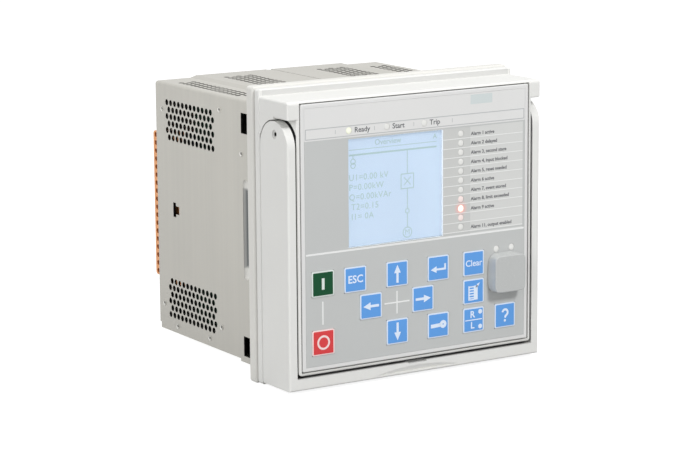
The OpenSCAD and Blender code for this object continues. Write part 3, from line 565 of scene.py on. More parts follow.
def moulded(name, colour, roughness=0.5, shade=0.06, grain=1500.0, coat=0.0, specular=0.5):
    """Plastic, rubber or paint: the moulded skin in one colour."""
    if name in FINISHES:
        return FINISHES[name]
    material, tree, shader = new_material(name)
    skin = use_group(tree, "Moulded skin", Colour=(*colour, 1), Shade=shade, Roughness=roughness,
                     Grain=grain)
    wear_skin(tree, shader, skin, SKIN_BUMP)
    shader.inputs["Coat Weight"].default_value = coat
    shader.inputs["Specular IOR Level"].default_value = specular
    return material


def metal(name, colour, roughness=0.4, shade=0.2, metallic=1.0):
    """Metal: the rolled sheet in one colour."""
    if name in FINISHES:
        return FINISHES[name]
    material, tree, shader = new_material(name)
    sheet = use_group(tree, "Rolled sheet", Colour=(*colour, 1), Shade=shade, Roughness=roughness)
    wear_skin(tree, shader, sheet, SHEET_BUMP)
    shader.inputs["Metallic"].default_value = metallic
    return material


def steel():
    """Bare steel of the screws."""
    return metal("plain_steel", paint(190, 190, 188), roughness=0.3)


def dark_plastic():
    """Dark plastic of rails and sockets."""
    return moulded("dark_plastic", paint(48, 50, 52), roughness=0.6)


def glowing(name, colour, roughness, strength):
    """Lit surface: the moulded skin in one colour, which also gives off that colour."""
    material = moulded(name, colour, roughness=roughness)
    tree = material.node_tree
    shader = tree.nodes["Principled BSDF"]
    tree.links.new(skin_of(tree).outputs["Colour"], shader.inputs["Emission Color"])
    shader.inputs["Emission Strength"].default_value = strength
    return material


def layered(tree, ground, colour, mask):
    """Colour laid over a ground where the mask is one; the ground is a socket or a plain colour."""
    mix = tree.nodes.new("ShaderNodeMix")
    mix.data_type = "RGBA"
    tree.links.new(mask, mix.inputs["Factor"])
    if isinstance(ground, bpy.types.NodeSocket):
        tree.links.new(ground, mix.inputs["A"])
    else:
        mix.inputs["A"].default_value = (*ground, 1)
    mix.inputs["B"].default_value = (*colour, 1)
    return mix.outputs["Result"]


def skin_of(tree):
    """First group node of a material: the one that gives it its skin."""
    return next(node for node in tree.nodes if node.type == "GROUP")


def zone_mask(tree, **sides):
    """Mask of a box whose sides, and the blend at them, are given in millimetres."""
    zone = use_group(tree, "Zone mask", **{side: value * MM for side, value in sides.items()})
    return zone.outputs["Mask"]


def box_sides(low, high):
    """Sides of a zone from the lowest and the highest corner of a box."""
    return dict(Left=low[0], Right=high[0], Front=low[1], Rear=high[1], Low=low[2], High=high[2])


def tint_zone(material, colour, **sides):
    """Colour on a material's skin inside a box, laid over the colour that the skin has so far."""
    tree = material.node_tree
    socket = skin_of(tree).inputs["Colour"]
    ground = socket.links[0].from_socket if socket.links else tuple(socket.default_value)[:3]
    tree.links.new(layered(tree, ground, colour, zone_mask(tree, **sides)), socket)


def dress(nodes, material):
    """Material on parts of the frame."""
    for name in nodes:
        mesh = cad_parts[name].data
        mesh.materials.clear()
        mesh.materials.append(material)


# Values that a user would change

class RelaySizes(bpy.types.PropertyGroup):
    """Sizes of the print and of the small shaped pieces."""

    ink: FloatProperty(name="Ink", description="Thickness of printed lines and letters",
                       default=0.05 * MM, unit="LENGTH")
    line: FloatProperty(name="Line", description="Width of thin printed lines",
                        default=0.35 * MM, unit="LENGTH")
    border: FloatProperty(name="Key border", description="Width of the pale border round a key's field",
                          default=0.75 * MM, unit="LENGTH")
    key_crown: FloatProperty(name="Key crown", description="Rise of a key's field in its middle",
                             default=0.12 * MM, unit="LENGTH")
    lens_crown: FloatProperty(name="Lens crown", description="Rise of an indicator lens",
                              default=0.5 * MM, unit="LENGTH")
    status_letters: FloatProperty(name="Status letters", description="Height of the status words",
                                  default=3.0 * MM, unit="LENGTH")
    label_letters: FloatProperty(name="Label letters", description="Height of the alarm labels",
                                 default=2.0 * MM, unit="LENGTH")
    key_letters: FloatProperty(name="Key letters", description="Height of letters on keys",
                               default=4.4 * MM, unit="LENGTH")
    value_letters: FloatProperty(name="Value letters", description="Height of the values on the display",
                                 default=3.6 * MM, unit="LENGTH")


class RelayColours(bpy.types.PropertyGroup):
    """Colours of the housing, the panel and the display."""

    housing: FloatVectorProperty(name="Housing", description="Front housing and handle",
                                 default=paint(227, 227, 224), subtype="COLOR")
    flange: FloatVectorProperty(name="Flange", description="Frame that rests on the panel",
                                default=paint(222, 221, 216), subtype="COLOR")
    bezel: FloatVectorProperty(name="Bezel", description="Frame of the operator panel",
                               default=paint(223, 223, 222), subtype="COLOR")
    foil: FloatVectorProperty(name="Foil", description="Ground of the printed foil",
                              default=paint(192, 194, 193), subtype="COLOR")
    header: FloatVectorProperty(name="Header", description="Pale zone along the top of the foil",
                                default=paint(223, 223, 222), subtype="COLOR")
    column: FloatVectorProperty(name="Alarm column", description="Ground behind the alarm lenses",
                                default=paint(200, 201, 199), subtype="COLOR")
    card: FloatVectorProperty(name="Card", description="Label card beside the alarm lenses",
                              default=paint(211, 212, 210), subtype="COLOR")
    plate: FloatVectorProperty(name="Blank plate", description="Blank plate at the top of the foil",
                               default=paint(206, 214, 214), subtype="COLOR")
    halo: FloatVectorProperty(name="Halo", description="Light of the lit alarm on the foil",
                              default=paint(252, 172, 164), subtype="COLOR")
    pale_line: FloatVectorProperty(name="Pale lines", description="Pale printed lines",
                                   default=paint(236, 237, 236), subtype="COLOR")
    grey_line: FloatVectorProperty(name="Grey lines", description="Grey printed lines",
                                   default=paint(184, 186, 187), subtype="COLOR")
    letters: FloatVectorProperty(name="Letters", description="Dark printed letters",
                                 default=paint(84, 86, 90), subtype="COLOR")
    key_border: FloatVectorProperty(name="Key border", description="Pale body of the keys",
                                    default=paint(218, 230, 246), subtype="COLOR")
    key_blue: FloatVectorProperty(name="Blue keys", description="Field of the blue keys",
                                  default=paint(100, 161, 230), subtype="COLOR")
    key_green: FloatVectorProperty(name="Close key", description="Field of the close key",
                                   default=paint(18, 74, 45), subtype="COLOR")
    key_red: FloatVectorProperty(name="Open key", description="Field of the open key",
                                 default=paint(217, 70, 73), subtype="COLOR")
    key_symbol: FloatVectorProperty(name="Key symbols", description="Symbols on the keys",
                                    default=paint(224, 236, 252), subtype="COLOR")
    display: FloatVectorProperty(name="Display", description="Lit ground of the display",
                                 default=paint(184, 200, 217), subtype="COLOR")
    display_ink: FloatVectorProperty(name="Display ink", description="Symbols on the display",
                                     default=paint(158, 182, 183), subtype="COLOR")
    plug: FloatVectorProperty(name="Plugs", description="Pluggable connectors and their sockets",
                              default=paint(240, 168, 110), subtype="COLOR")
    cover: FloatVectorProperty(name="Port cover", description="Pull-off cover of the front port",
                               default=paint(187, 189, 188), subtype="COLOR")
    sheet: FloatVectorProperty(name="Sheet", description="Coated sheet of the case",
                               default=paint(185, 183, 176), subtype="COLOR")


# Pieces

class RELAY_OT_case(bpy.types.Operator):
    """Finish the sheet case, its flange, seal and fixings"""

    bl_idname = "relay.case"
    bl_label = "Case"

    def execute(self, context):
        colours = context.scene.relay_colours
        dress(["case_bottom_sheet", "case_rear_sheet"], self.coated("coated_sheet", colours))
        dress(["case_left_sheet", "case_right_sheet"], self.side_material(colours))
        dress(["case_top_left", "case_top_right"], self.top_material(colours))
        dress(["mounting_flange"], moulded("flange_white", colours.flange))
        dress(["front_seal"], moulded("seal_rubber", paint(38, 39, 40), roughness=0.8))
        dress(["flange_screws", "earth_screw"], steel())
        dress(["guide_rails"], dark_plastic())
        self.troughs()
        self.rivets()
        return {"FINISHED"}

    def coated(self, name, colours, shade=0.3):
        """Coated sheet of the case."""
        return metal(name, colours.sheet, roughness=0.45, shade=shade, metallic=0.5)

    def side_material(self, colours):
        """Coated sheet with painted shade inside and in its holes, from just under its outer faces."""
        material = self.coated("side_sheet", colours)
        low, high = cad_mm("case_left_sheet")
        fold = 3.0
        wall_x, front_y, low_z = low + (SHEET_SKIN, fold, fold)
        _, rear_y, high_z = high - fold
        tint_zone(material, PAINTED_HOLE_SHADE, **box_sides((wall_x, front_y, low_z), (-wall_x, rear_y, high_z)))
        fold_x = low[0] + fold
        roof_z = high[2] - SHEET_SKIN
        tint_zone(material, PAINTED_HOLE_SHADE, **box_sides((fold_x, front_y, high_z), (-fold_x, rear_y, roof_z)))
        return material

    def top_material(self, colours):
        """Coated sheet of the raised top, with painted shade in its holes and in its seam."""
        material = self.coated("top_sheet", colours, shade=0.15)
        low, high = cad_mm("case_top_left")
        ramp = 5.0
        edge = 1.0
        side_x = low[0] + ramp
        tint_zone(material, PAINTED_HOLE_SHADE, Left=side_x, Right=-side_x, Front=low[1] + edge,
                  Rear=high[1] - edge, High=high[2] - SHEET_SKIN)
        return material

    def rivets(self):
        """Rivet heads with a dished face: a circle carried out to its rim, then drawn in and sunk as a
        bowl, in a zinc paler than the sheet as a painted highlight. In each dish a dark core, partly the
        rivet's hole and partly painted shade: a smaller circle carried straight out to just under the rim,
        moved up and towards the front so that the pale rim shows as a lit crescent below it."""
        sheet_low, sheet_high = cad_mm("case_left_sheet")
        rear = sheet_high[1]
        top = sheet_high[2]
        bottom = cad_mm("case_bottom_sheet")[0][2]
        places = (
            (rear - 8, top - 16.5), (45.5, top - 8.8), (20.2, 44.2), (rear - 6.5, bottom + 16.5),
            (rear - 23.2, bottom + 4.5), (61.4, bottom + 4.9), (46.6, bottom + 14.4),
        )
        rim_r = 1.5
        core_r = 0.8
        # Painted light and shade: the core is moved up and towards the front, so more of the pale rim shows
        # below and behind it.
        core_shift = 0.3
        core_drop = 0.15
        sunk = 0.42
        bed = 0.05
        rim = circle(rim_r, 24)
        core = circle(core_r, 16)
        seat = sheet_low[0] + bed
        face = cad_mm("case_rivets")[0][0]
        heads = []
        cores = []
        for turn, side in TURNS:
            for y, z in places:
                heads.append(turn(cushion(rim, (side * y, z), seat, face, -sunk)))
                core_place = (side * (y - core_shift), z + core_shift)
                cores.append(turn(slab(core, core_place, seat, face + core_drop)))
        # Painted highlight on the pale heads; the rivet's hole and painted shade in the dark cores.
        bright = metal("rivet_zinc_painted_highlight", paint(228, 227, 222), roughness=0.5, metallic=0.1)
        dark = moulded("rivet_hole_and_painted_shade", paint(84, 82, 78), roughness=0.6)
        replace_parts(make_piece("rivet_heads", heads, bright, "case", 1.0), "case_rivets")
        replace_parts(make_piece("rivet_cores", cores, dark, "case"), "case_rivets")

    def troughs(self):
        """Pressed trough in the long slot of each side sheet: over nearly a quarter turn the slot's outline
        is drawn in to its middle line by the cosine and sunk by the sine, with a flat back."""
        slot_y = 15.6
        half_w = 3.27
        half_h = 29.77
        middle_z = -0.5
        depth = 2.2
        back_room = 0.4
        bed = 0.05
        last_turn = 0.49 * np.pi
        outline = round_rect(half_w, half_h, half_w, 8)
        straight = half_h - half_w
        spine = np.stack([np.zeros(len(outline)), np.clip(outline[:, 1], -straight, straight)], axis=1)
        angle = np.linspace(0, last_turn, 8)
        share = np.concatenate([[1], np.cos(angle)])
        sunk = np.concatenate([[depth + back_room], depth * np.sin(angle)])
        rings = np.empty((len(share), len(outline), 3))
        rings[:, :, [0, 2]] = spine + share[:, None, None] * (outline - spine)
        rings[:, :, 1] = sunk[:, None]
        rings[:, :, 2] += middle_z
        trough = carried(rings)
        skin = self.trough_material()
        wall_x = cad_mm("case_left_sheet")[0][0] + bed
        for name, (turn, side) in zip(("left_trough", "right_trough"), TURNS):
            points, faces = turn(trough)
            placed = points + (-side * wall_x, slot_y, 0)
            make_piece(name, [(placed, faces)], skin, "case", 1.2)

    def trough_material(self):
        """Sheet of the trough with painted light and shade: bright at its rear edge and at its ends, darker
        towards its front and its middle, where the recess is in shade."""
        material, tree, shader = new_material("trough_painted_light_and_shade")
        mask = zone_mask(tree, Low=-23.8, High=24.4, Rear=19.5, Blend=2.0)
        colour = layered(tree, paint(226, 225, 221), paint(108, 112, 113), mask)
        sheet = use_group(tree, "Rolled sheet", Shade=0.2, Roughness=0.6)
        tree.links.new(colour, sheet.inputs["Colour"])
        wear_skin(tree, shader, sheet)
        shader.inputs["Specular IOR Level"].default_value = 0.15
        return material


class RELAY_OT_rear(bpy.types.Operator):
    """Finish the terminals, plugs and ports at the rear"""

    bl_idname = "relay.rear"
    bl_label = "Rear connections"

    def execute(self, context):
        colours = context.scene.relay_colours
        orange = moulded("plug_orange", colours.plug, roughness=0.45)
        # Painted shade: the inside of each plug, its holes included, is a darker brown.
        for plug in ("plug_left", "plug_mid"):
            low, high = cad_mm(plug)
            tint_zone(orange, PAINTED_PLUG_SHADE, **box_sides(low + HOLE_INSET, high - HOLE_INSET))
        dress(["plug_sockets", "plug_left", "plug_mid"], orange)
        dress(["analogue_block"], moulded("terminal_black", paint(40, 41, 43), roughness=0.55))
        dress(["rear_screws"], steel())
        # Painted shade: the screws deep in the plugs' holes are a dark brown instead of steel.
        dress(["plug_left_screws", "plug_mid_screws"],
              metal("screw_painted_shade", paint(150, 98, 60), roughness=0.5, metallic=0.3))
        dress(["comm_plate"], moulded("plate_grey", paint(176, 179, 181), roughness=0.5))
        dress(["comm_jacks"], metal("jack_shell", paint(200, 200, 198), roughness=0.25))
        return {"FINISHED"}


class RELAY_OT_front(bpy.types.Operator):
    """Finish the front housing, bezel and handle"""

    bl_idname = "relay.front"
    bl_label = "Front housing and handle"

    def execute(self, context):
        colours = context.scene.relay_colours
        white = moulded("housing_white", colours.housing)
        # Painted shade: a darker band across the housing on the low wall behind the head's top.
        tint_zone(white, paint(207, 207, 205), Left=-SHADE_BAND_X, Right=SHADE_BAND_X,
                  Low=SHADE_BAND_LOW_Z, High=SHADE_BAND_HIGH_Z)
        dress(["front_housing", "handle"], white)
        dress(["bezel"], moulded("bezel_pale", colours.bezel, roughness=0.45))
        dress(["pivot_pins"], moulded("pin_white", paint(205, 205, 202), roughness=0.4))
        self.paint_gap_shade()
        return {"FINISHED"}

    def paint_gap_shade(self):
        """Dark sheets of painted shade in the gaps round the panel, where there is only shade. On the
        core's sides: an upright plate whose top is a half circle about the middle of the handle's round
        end, cut off straight in front. On the core's floor and on the bezel's left side: a flat bar. In the
        pins: a disc at the mouth of the socket."""
        plate_bed = 0.1
        floor_bed = 0.05
        edge_r = 0.05
        end_gap = 1.0
        disc_drop = 0.2
        disc_t = 0.5
        sweep = np.linspace(0, np.pi, 60)
        arch = POCKET_R * np.stack([np.cos(sweep), np.sin(sweep)], axis=1) + (-ARM_MID_Y, ARM_ROUND_Z)
        arch[:, 0] = np.clip(arch[:, 0], -SHADE_SHEET_BACK_Y, -SHADE_SHEET_FRONT_Y)
        foot = np.array([(-SHADE_SHEET_BACK_Y, CORE_FLOOR_Z), (-SHADE_SHEET_FRONT_Y, CORE_FLOOR_Z)])
        plate = np.concatenate([arch, foot])
        mirrored = (plate * (-1, 1))[::-1]
        disc = circle(PIN_SOCKET_R, 24)
        mouth = disc_drop - PIN_END_X
        floor = round_rect(CORE_X - end_gap, SHADE_SHEET_T / 2, edge_r, 2)
        floor_z = CORE_FLOOR_Z - SHADE_SHEET_T / 2 + floor_bed
        bar = round_rect(SHADE_SHEET_T / 2, BEZEL_H / 2 - end_gap, edge_r, 2)
        bar_x = BEZEL_LOW[0] - SHADE_SHEET_T / 2
        parts = [
            slab(floor, (0, floor_z), SHADE_SHEET_BACK_Y, SHADE_SHEET_FRONT_Y),
            slab(bar, (bar_x, BEZEL_MID_Z), BEZEL_HIGH[1], SHADE_SHEET_FRONT_Y),
        ]
        for (turn, side), outline in zip(TURNS, (plate, mirrored)):
            parts.append(turn(slab(outline, (0, 0), plate_bed - CORE_X, -CORE_X - SHADE_SHEET_T)))
            parts.append(turn(slab(disc, (side * PIVOT_Y, PIVOT_Z), mouth + disc_t, mouth)))
        # Painted shade: dark sheets stand where the gaps round the panel are only in shade.
        dark = moulded("gap_painted_shade", paint(26, 27, 28), roughness=0.8, specular=0.1)
        make_piece("gap_shade_sheets", parts, dark, "plug_in_unit")


class RELAY_OT_print(bpy.types.Operator):
    """Print the foil: zones of its ground, lines, words and labels"""

    bl_idname = "relay.print"
    bl_label = "Panel print"

    def execute(self, context):
        sizes = context.scene.relay_sizes
        colours = context.scene.relay_colours
        dress(["front_foil"], self.foil_material(colours))
        back = FACE_Y + INK_BED
        front = FACE_Y - sizes.ink / MM
        line = sizes.line / MM
        self.grey_lines(colours, line, back, front)
        self.pale_lines(colours, line, back, front)
        word_height = sizes.status_letters / MM
        label_height = sizes.label_letters / MM
        parts = []
        for word, x in zip(STATUS_WORDS, STATUS_X):
            place = (x + STATUS_WORD_GAP, STATUS_Z)
            parts.append(lettering(word, word_height, place, back, front, "LEFT", WORD_BOLD))
        for row, label in enumerate(ALARM_LABELS):
            place = (CARD_LEFT_X + LABEL_INSET, ALARM_TOP_Z - LABEL_DROP - row * ALARM_PITCH)
            if label:
                parts.append(lettering(label, label_height, place, back, front, "LEFT", LABEL_BOLD))
        self.printed("panel_words", parts, "print_dark", colours.letters)
        return {"FINISHED"}

    def printed(self, name, parts, finish, colour, roughness=0.6):
        """Print on the foil in one colour."""
        make_piece(name, parts, moulded(finish, colour, roughness=roughness), "plug_in_unit")

    def foil_material(self, colours):
        """Foil whose ground changes colour from zone to zone, with a soft halo about the lit alarm."""
        material, tree, shader = new_material("foil_print")
        over = 1.0
        zones = (
            (colours.header, FOIL_LOW[0] - over, FOIL_HIGH[0] + over, FIELD_HIGH_Z, FOIL_HIGH[2] + over),
            (colours.plate, PLATE_LEFT_X, PLATE_RIGHT_X, PLATE_LOW_Z, PLATE_HIGH_Z),
            (colours.column, WINDOW_HIGH[0], CARD_LEFT_X, FIELD_LOW_Z, FIELD_HIGH_Z),
            (colours.card, CARD_LEFT_X, CARD_RIGHT_X, FIELD_LOW_Z, FIELD_HIGH_Z),
        )
        colour = colours.foil
        for zone_colour, left, right, low, high in zones:
            mask = zone_mask(tree, Left=left, Right=right, Low=low, High=high)
            colour = layered(tree, colour, zone_colour, mask)
        lit_z = ALARM_TOP_Z - (LIT_ALARM - 1) * ALARM_PITCH
        halo_fall = 1.4
        halo_gain = 1.3
        spot = use_group(tree, "Round spot", X=ALARM_X * MM, Z=lit_z * MM, Reach=HALO_REACH * MM)
        glow = math(tree, "MULTIPLY", math(tree, "POWER", spot.outputs["Mask"], halo_fall), halo_gain)
        colour = layered(tree, colour, colours.halo, math(tree, "MINIMUM", glow, 1.0))
        skin = use_group(tree, "Moulded skin", Shade=0.05, Roughness=0.42, Grain=2500.0)
        tree.links.new(colour, skin.inputs["Colour"])
        wear_skin(tree, shader, skin, SHEET_BUMP)
        return material

    def grey_lines(self, colours, line, back, front):
        """Frame of the status strip, the ticks between its words and the edges of the alarm field."""
        strip_line = 1.4 * line
        strip = [(-STRIP_END_X, STRIP_LOW_Z), (STRIP_END_X, STRIP_LOW_Z),
                 (STRIP_END_X, STRIP_HIGH_Z), (-STRIP_END_X, STRIP_HIGH_Z)]
        parts = [ribbon(strip, strip_line, back, front, closed=True)]
        for x in TICK_X:
            parts.append(ribbon([(x, STATUS_Z - TICK_HALF), (x, STATUS_Z + TICK_HALF)], line, back, front))
        edges = [
            ribbon([(WINDOW_HIGH[0] + LINE_INSET, z), (CARD_RIGHT_X, z)], ALARM_EDGE_W, back, front)
            for z in ALARM_EDGE_Z
        ]
        self.printed("alarm_edges", edges, "print_faint", colours.foil)
        self.printed("panel_grey_lines", parts, "print_grey", colours.grey_line)

    def pale_lines(self, colours, line, back, front):
        """Lines between the alarm rows, the line above the keys and the lines among the keys."""
        wide = 2.4 * line
        field_line = 1.3 * wide
        key_gap = 10.4
        half_w = 8.7
        half_h = 6.7
        arm = wide / 2
        close_x, close_z = key_centre("key_close")
        open_z = key_centre("key_open")[1]
        cross_x = key_centre("key_up")[0]
        cross_z = key_centre("key_left")[1]
        strokes = [
            (field_line, (FOIL_LOW[0] + LINE_INSET, FIELD_LOW_Z), (FOIL_HIGH[0] - LINE_INSET, FIELD_LOW_Z)),
            (wide, (close_x, close_z - key_gap), (close_x, open_z + key_gap)),
            (wide, (cross_x, cross_z - half_h), (cross_x, cross_z + half_h)),
            (wide, (cross_x - half_w, cross_z), (cross_x - arm, cross_z)),
            (wide, (cross_x + arm, cross_z), (cross_x + half_w, cross_z)),
        ]
        for row in range(ALARM_COUNT):
            z = ALARM_TOP_Z - (row + 0.5) * ALARM_PITCH
            strokes.append((line, (WINDOW_HIGH[0] + LINE_INSET, z), (CARD_RIGHT_X, z)))
        parts = [ribbon([start, end], width, back, front) for width, start, end in strokes]
        self.printed("panel_pale_lines", parts, "print_pale", colours.pale_line, roughness=0.5)


def key_centre(node):
    """Middle of a key on the panel, in x and z."""
    low, high = cad_mm(node)
    middle = (low + high) / 2
    return float(middle[0]), float(middle[2])


class RELAY_OT_display(bpy.types.Operator):
    """Light the display and draw a single-line diagram and values on it"""

    bl_idname = "relay.display"
    bl_label = "Display"

    def execute(self, context):
        sizes = context.scene.relay_sizes
        colours = context.scene.relay_colours
        ground = glowing("display_ground", colours.display, roughness=0.5, strength=0.08)
        dress(["lcd_panel"], ground)
        dress(["display_window"], self.glass())
        middle = (WINDOW_LOW + WINDOW_HIGH) / 2
        half = (WINDOW_HIGH - WINDOW_LOW) / 2
        corner_r = 0.3
        film_face = float(WINDOW_HIGH[1]) + FILM_GAP
        film = slab(round_rect(half[0], half[2], corner_r), middle[[0, 2]], film_face + FILM_T, film_face)
        make_piece("display_film", [film], ground, "plug_in_unit")
        self.margin(middle, half)
        back = film_face + FILM_GAP / 2
        front = film_face - FILM_GAP / 2
        parts = self.diagram(back, front) + self.words(sizes.value_letters / MM, back, front)
        ink = glowing("display_ink", colours.display_ink, roughness=0.5, strength=0.06)
        make_piece("display_image", parts, ink, "plug_in_unit")
        return {"FINISHED"}

    def diagram(self, back, front):
        """Single-line diagram: a thin and a thick bar across, a feeder from the thick bar down through a
        breaker and a joint to a machine, and a coupler that ends in two windings."""
        left = WINDOW_LOW[0] + 1.3
        right = WINDOW_HIGH[0] - 3.4
        thin_z = 51.0
        thin_w = 0.4
        bus_z = 48.0
        bus_w = 1.0
        under_bus = bus_z - bus_w / 2
        stroke = 0.55
        feeder_x = -6.2
        breaker_z = 29.6
        breaker_half = 4.3
        cross_half = 2.3
        joint_z = 12.0
        joint_r = 1.3
        machine_z = -0.6
        machine_r = 3.0
        coupler_x = -43.3
        winding_z = 44.3
        winding_r = 1.5
        winding_pitch = 1.6 * winding_r
        breaker = (feeder_x, breaker_z)
        lines = [
            (thin_w, [(left, thin_z), (right, thin_z)]),
            (bus_w, [(left, bus_z), (right, bus_z)]),
            (stroke, [(feeder_x, under_bus), (feeder_x, breaker_z + breaker_half)]),
            (stroke, SQUARE[[0, 2]] * cross_half + breaker),
            (stroke, SQUARE[[1, 3]] * cross_half + breaker),
            (stroke, [(feeder_x, breaker_z - breaker_half), (feeder_x, joint_z + joint_r)]),
            (stroke, [(feeder_x, joint_z - joint_r), (feeder_x, machine_z + machine_r)]),
            (stroke, [(coupler_x, under_bus), (coupler_x, winding_z + winding_r)]),
        ]
        loops = [
            SQUARE * breaker_half + breaker,
            circle(joint_r) + (feeder_x, joint_z),
            circle(machine_r) + (feeder_x, machine_z),
            circle(winding_r) + (coupler_x, winding_z),
            circle(winding_r) + (coupler_x, winding_z - winding_pitch),
        ]
        parts = [ribbon(path, width, back, front) for width, path in lines]
        parts += [ribbon(path, stroke, back, front, closed=True) for path in loops]
        parts.append(lettering("M", CAPTION_H, (feeder_x, machine_z), back, front))
        return parts

    def words(self, value_height, back, front):
        """Caption and sign along the top, and values down the left side."""
        caption_x = -19.5
        caption_z = 54.0
        caption_bold = 0.04
        sign_x = 13.1
        sign_height = 2.9
        value_top = 34.8
        value_pitch = 5.7
        near = 1.1
        far = 2.6
        values = (("U1=0.00 kV", near), ("P=0.00kW", near), ("Q=0.00kVAr", near),
                  ("T2=0.15", far), ("I1= 0A", far))
        parts = [
            lettering("Overview", CAPTION_H, (caption_x, caption_z), back, front, bold=caption_bold),
            lettering("A", sign_height, (sign_x, caption_z), back, front, bold=caption_bold),
        ]
        for row, (text, inset) in enumerate(values):
            place = (WINDOW_LOW[0] + inset, value_top - row * value_pitch)
            parts.append(lettering(text, value_height, place, back, front, "LEFT", bold=0.03, spacing=1.08))
        return parts

    def margin(self, middle, half):
        """Glowing pale band of painted light in the narrow gap round the window, along a rectangle just
        outside its sides.
        """
        path = SQUARE * (half[[0, 2]] + MARGIN_OUT) + middle[[0, 2]]
        band = ribbon(path, MARGIN_W, float(WINDOW_HIGH[1]), float(WINDOW_LOW[1]), closed=True)
        pale = glowing("display_edge_painted_light", paint(235, 242, 250), roughness=0.5, strength=0.5)
        make_piece("display_edge_painted_light", [band], pale, "plug_in_unit")

    def glass(self):
        """Clear window with a faintly uneven face."""
        material, tree, shader = new_material("window_clear")
        skin = use_group(tree, "Moulded skin", Colour=(0.97, 0.985, 1, 1), Shade=0.02, Roughness=0.09,
                         Grain=60.0)
        wear_skin(tree, shader, skin)
        shader.inputs["Transmission Weight"].default_value = 1.0
        shader.inputs["IOR"].default_value = 1.12
        return material


class RELAY_OT_lamps(bpy.types.Operator):
    """Shape the indicator lenses as low domes and light two of them"""

    bl_idname = "relay.lamps"
    bl_label = "Indicator lenses"

    def execute(self, context):
        rise = context.scene.relay_sizes.lens_crown / MM / 2
        low, high = cad_mm("status_lenses")
        front = low[1] + rise
        back = high[1]
        outline = circle(LENS_R)
        spots = [(x, STATUS_Z) for x in STATUS_X] + [(x, PORT_LAMP_Z) for x in PORT_LAMP_X]
        alarms = [(ALARM_X, ALARM_TOP_Z - row * ALARM_PITCH) for row in range(ALARM_COUNT)]
        lit_place = alarms[LIT_ALARM - 1]
        near_places = [alarms[LIT_ALARM - 2], alarms[LIT_ALARM]]
        dark_places = [place for place in alarms if place != lit_place and place not in near_places]
        clear = moulded("lens_clear", paint(229, 229, 226), roughness=0.3, shade=0.03, coat=0.2)
        # Painted light: the lenses next to the lit alarm are tinted with its glow.
        glow_tinted = moulded("lens_painted_glow", paint(248, 230, 226), roughness=0.3, shade=0.03, coat=0.2)
        ready = self.lit("lens_ready", spots[0], paint(252, 253, 240), paint(244, 247, 222), strength=0.05)
        alarm = self.lit("lens_lit", lit_place, paint(255, 250, 236), paint(255, 196, 180), strength=1.0)

        def domes(name, places, material):
            parts = [cushion(outline, place, back, front, rise) for place in places]
            return make_piece(name, parts, material, "plug_in_unit")

        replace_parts(domes("ready_lens", spots[:1], ready), "status_lenses")
        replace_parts(domes("status_lens_domes", spots[1:], clear), "status_lenses")
        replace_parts(domes("lit_alarm_lens", [lit_place], alarm), "alarm_lenses")
        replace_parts(domes("alarm_lens_domes", dark_places, clear), "alarm_lenses")
        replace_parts(domes("alarm_lens_near_domes", near_places, glow_tinted), "alarm_lenses")
        return {"FINISHED"}

    def lit(self, name, place, core, rim, strength):
        """Lens that glows from a pale core to a coloured rim."""
        material, tree, shader = new_material(name)
        reach = 1.25 * LENS_R
        spot = use_group(tree, "Round spot", X=place[0] * MM, Z=place[1] * MM, Reach=reach * MM)
        glow = layered(tree, rim, core, spot.outputs["Mask"])
        tree.links.new(glow, shader.inputs["Base Color"])
        tree.links.new(glow, shader.inputs["Emission Color"])
        shader.inputs["Emission Strength"].default_value = strength
        shader.inputs["Roughness"].default_value = 0.25
        return material


# Key symbols, drawn about the middle of a key

SYMBOL_STROKE = 1.5


def arrow_symbol(turn):
    """Straight arrow: a shaft and a three-cornered head, turned about the middle of the key."""
    half_length = 5.3
    head_length = 4.8
    head_half = 2.3
    turned = np.array([[np.cos(turn), np.sin(turn)], [-np.sin(turn), np.cos(turn)]])
    neck = half_length - head_length
    shaft = np.array([(-half_length, 0), (neck, 0)]) @ turned
    head = np.array([(neck, -head_half), (half_length, 0), (neck, head_half)]) @ turned

    def parts(centre, back, front):
        return [ribbon(shaft + centre, SYMBOL_STROKE, back, front), slab(head, centre, back, front)]
    return parts


def line_symbol(*paths, closed=False, width=SYMBOL_STROKE):
    """Strokes of one width along the given paths."""
    def parts(centre, back, front):
        return [ribbon(np.array(path) + centre, width, back, front, closed) for path in paths]
    return parts


def letter_symbol(text, share=1.0, at=(0.0, 0.0), bold=0.12):
    """Letters at a share of the usual height, with their strokes widened."""
    def parts(centre, back, front):
        height = bpy.context.scene.relay_sizes.key_letters / MM * share
        return [lettering(text, height, (centre[0] + at[0], centre[1] + at[1]), back, front, bold=bold)]
    return parts


def joined(*symbols):
    """Several symbols on one key."""
    def parts(centre, back, front):
        return [part for symbol in symbols for part in symbol(centre, back, front)]
    return parts


def head_symbol(points):
    """Filled shape."""
    def parts(centre, back, front):
        return [slab(np.array(points, float), centre, back, front)]
    return parts


def dot_symbol(radius, at):
    """Filled disc."""
    def parts(centre, back, front):
        return [slab(circle(radius, 20), (centre[0] + at[0], centre[1] + at[1]), back, front)]
    return parts


def question_symbol():
    """Question mark: an arc and a short stem along one stroke, and a dot under it."""
    hook_r = 1.9
    hook_z = 1.6
    turn = np.radians(np.linspace(170, -40, 16))
    hook = hook_r * np.stack([np.cos(turn), np.sin(turn)], axis=1) + (0.0, hook_z)
    stem = np.array([(0.3, -0.6), (0.0, -1.6)])
    return joined(line_symbol(np.concatenate([hook, stem]), width=1.3), dot_symbol(0.8, at=(-0.1, -3.2)))


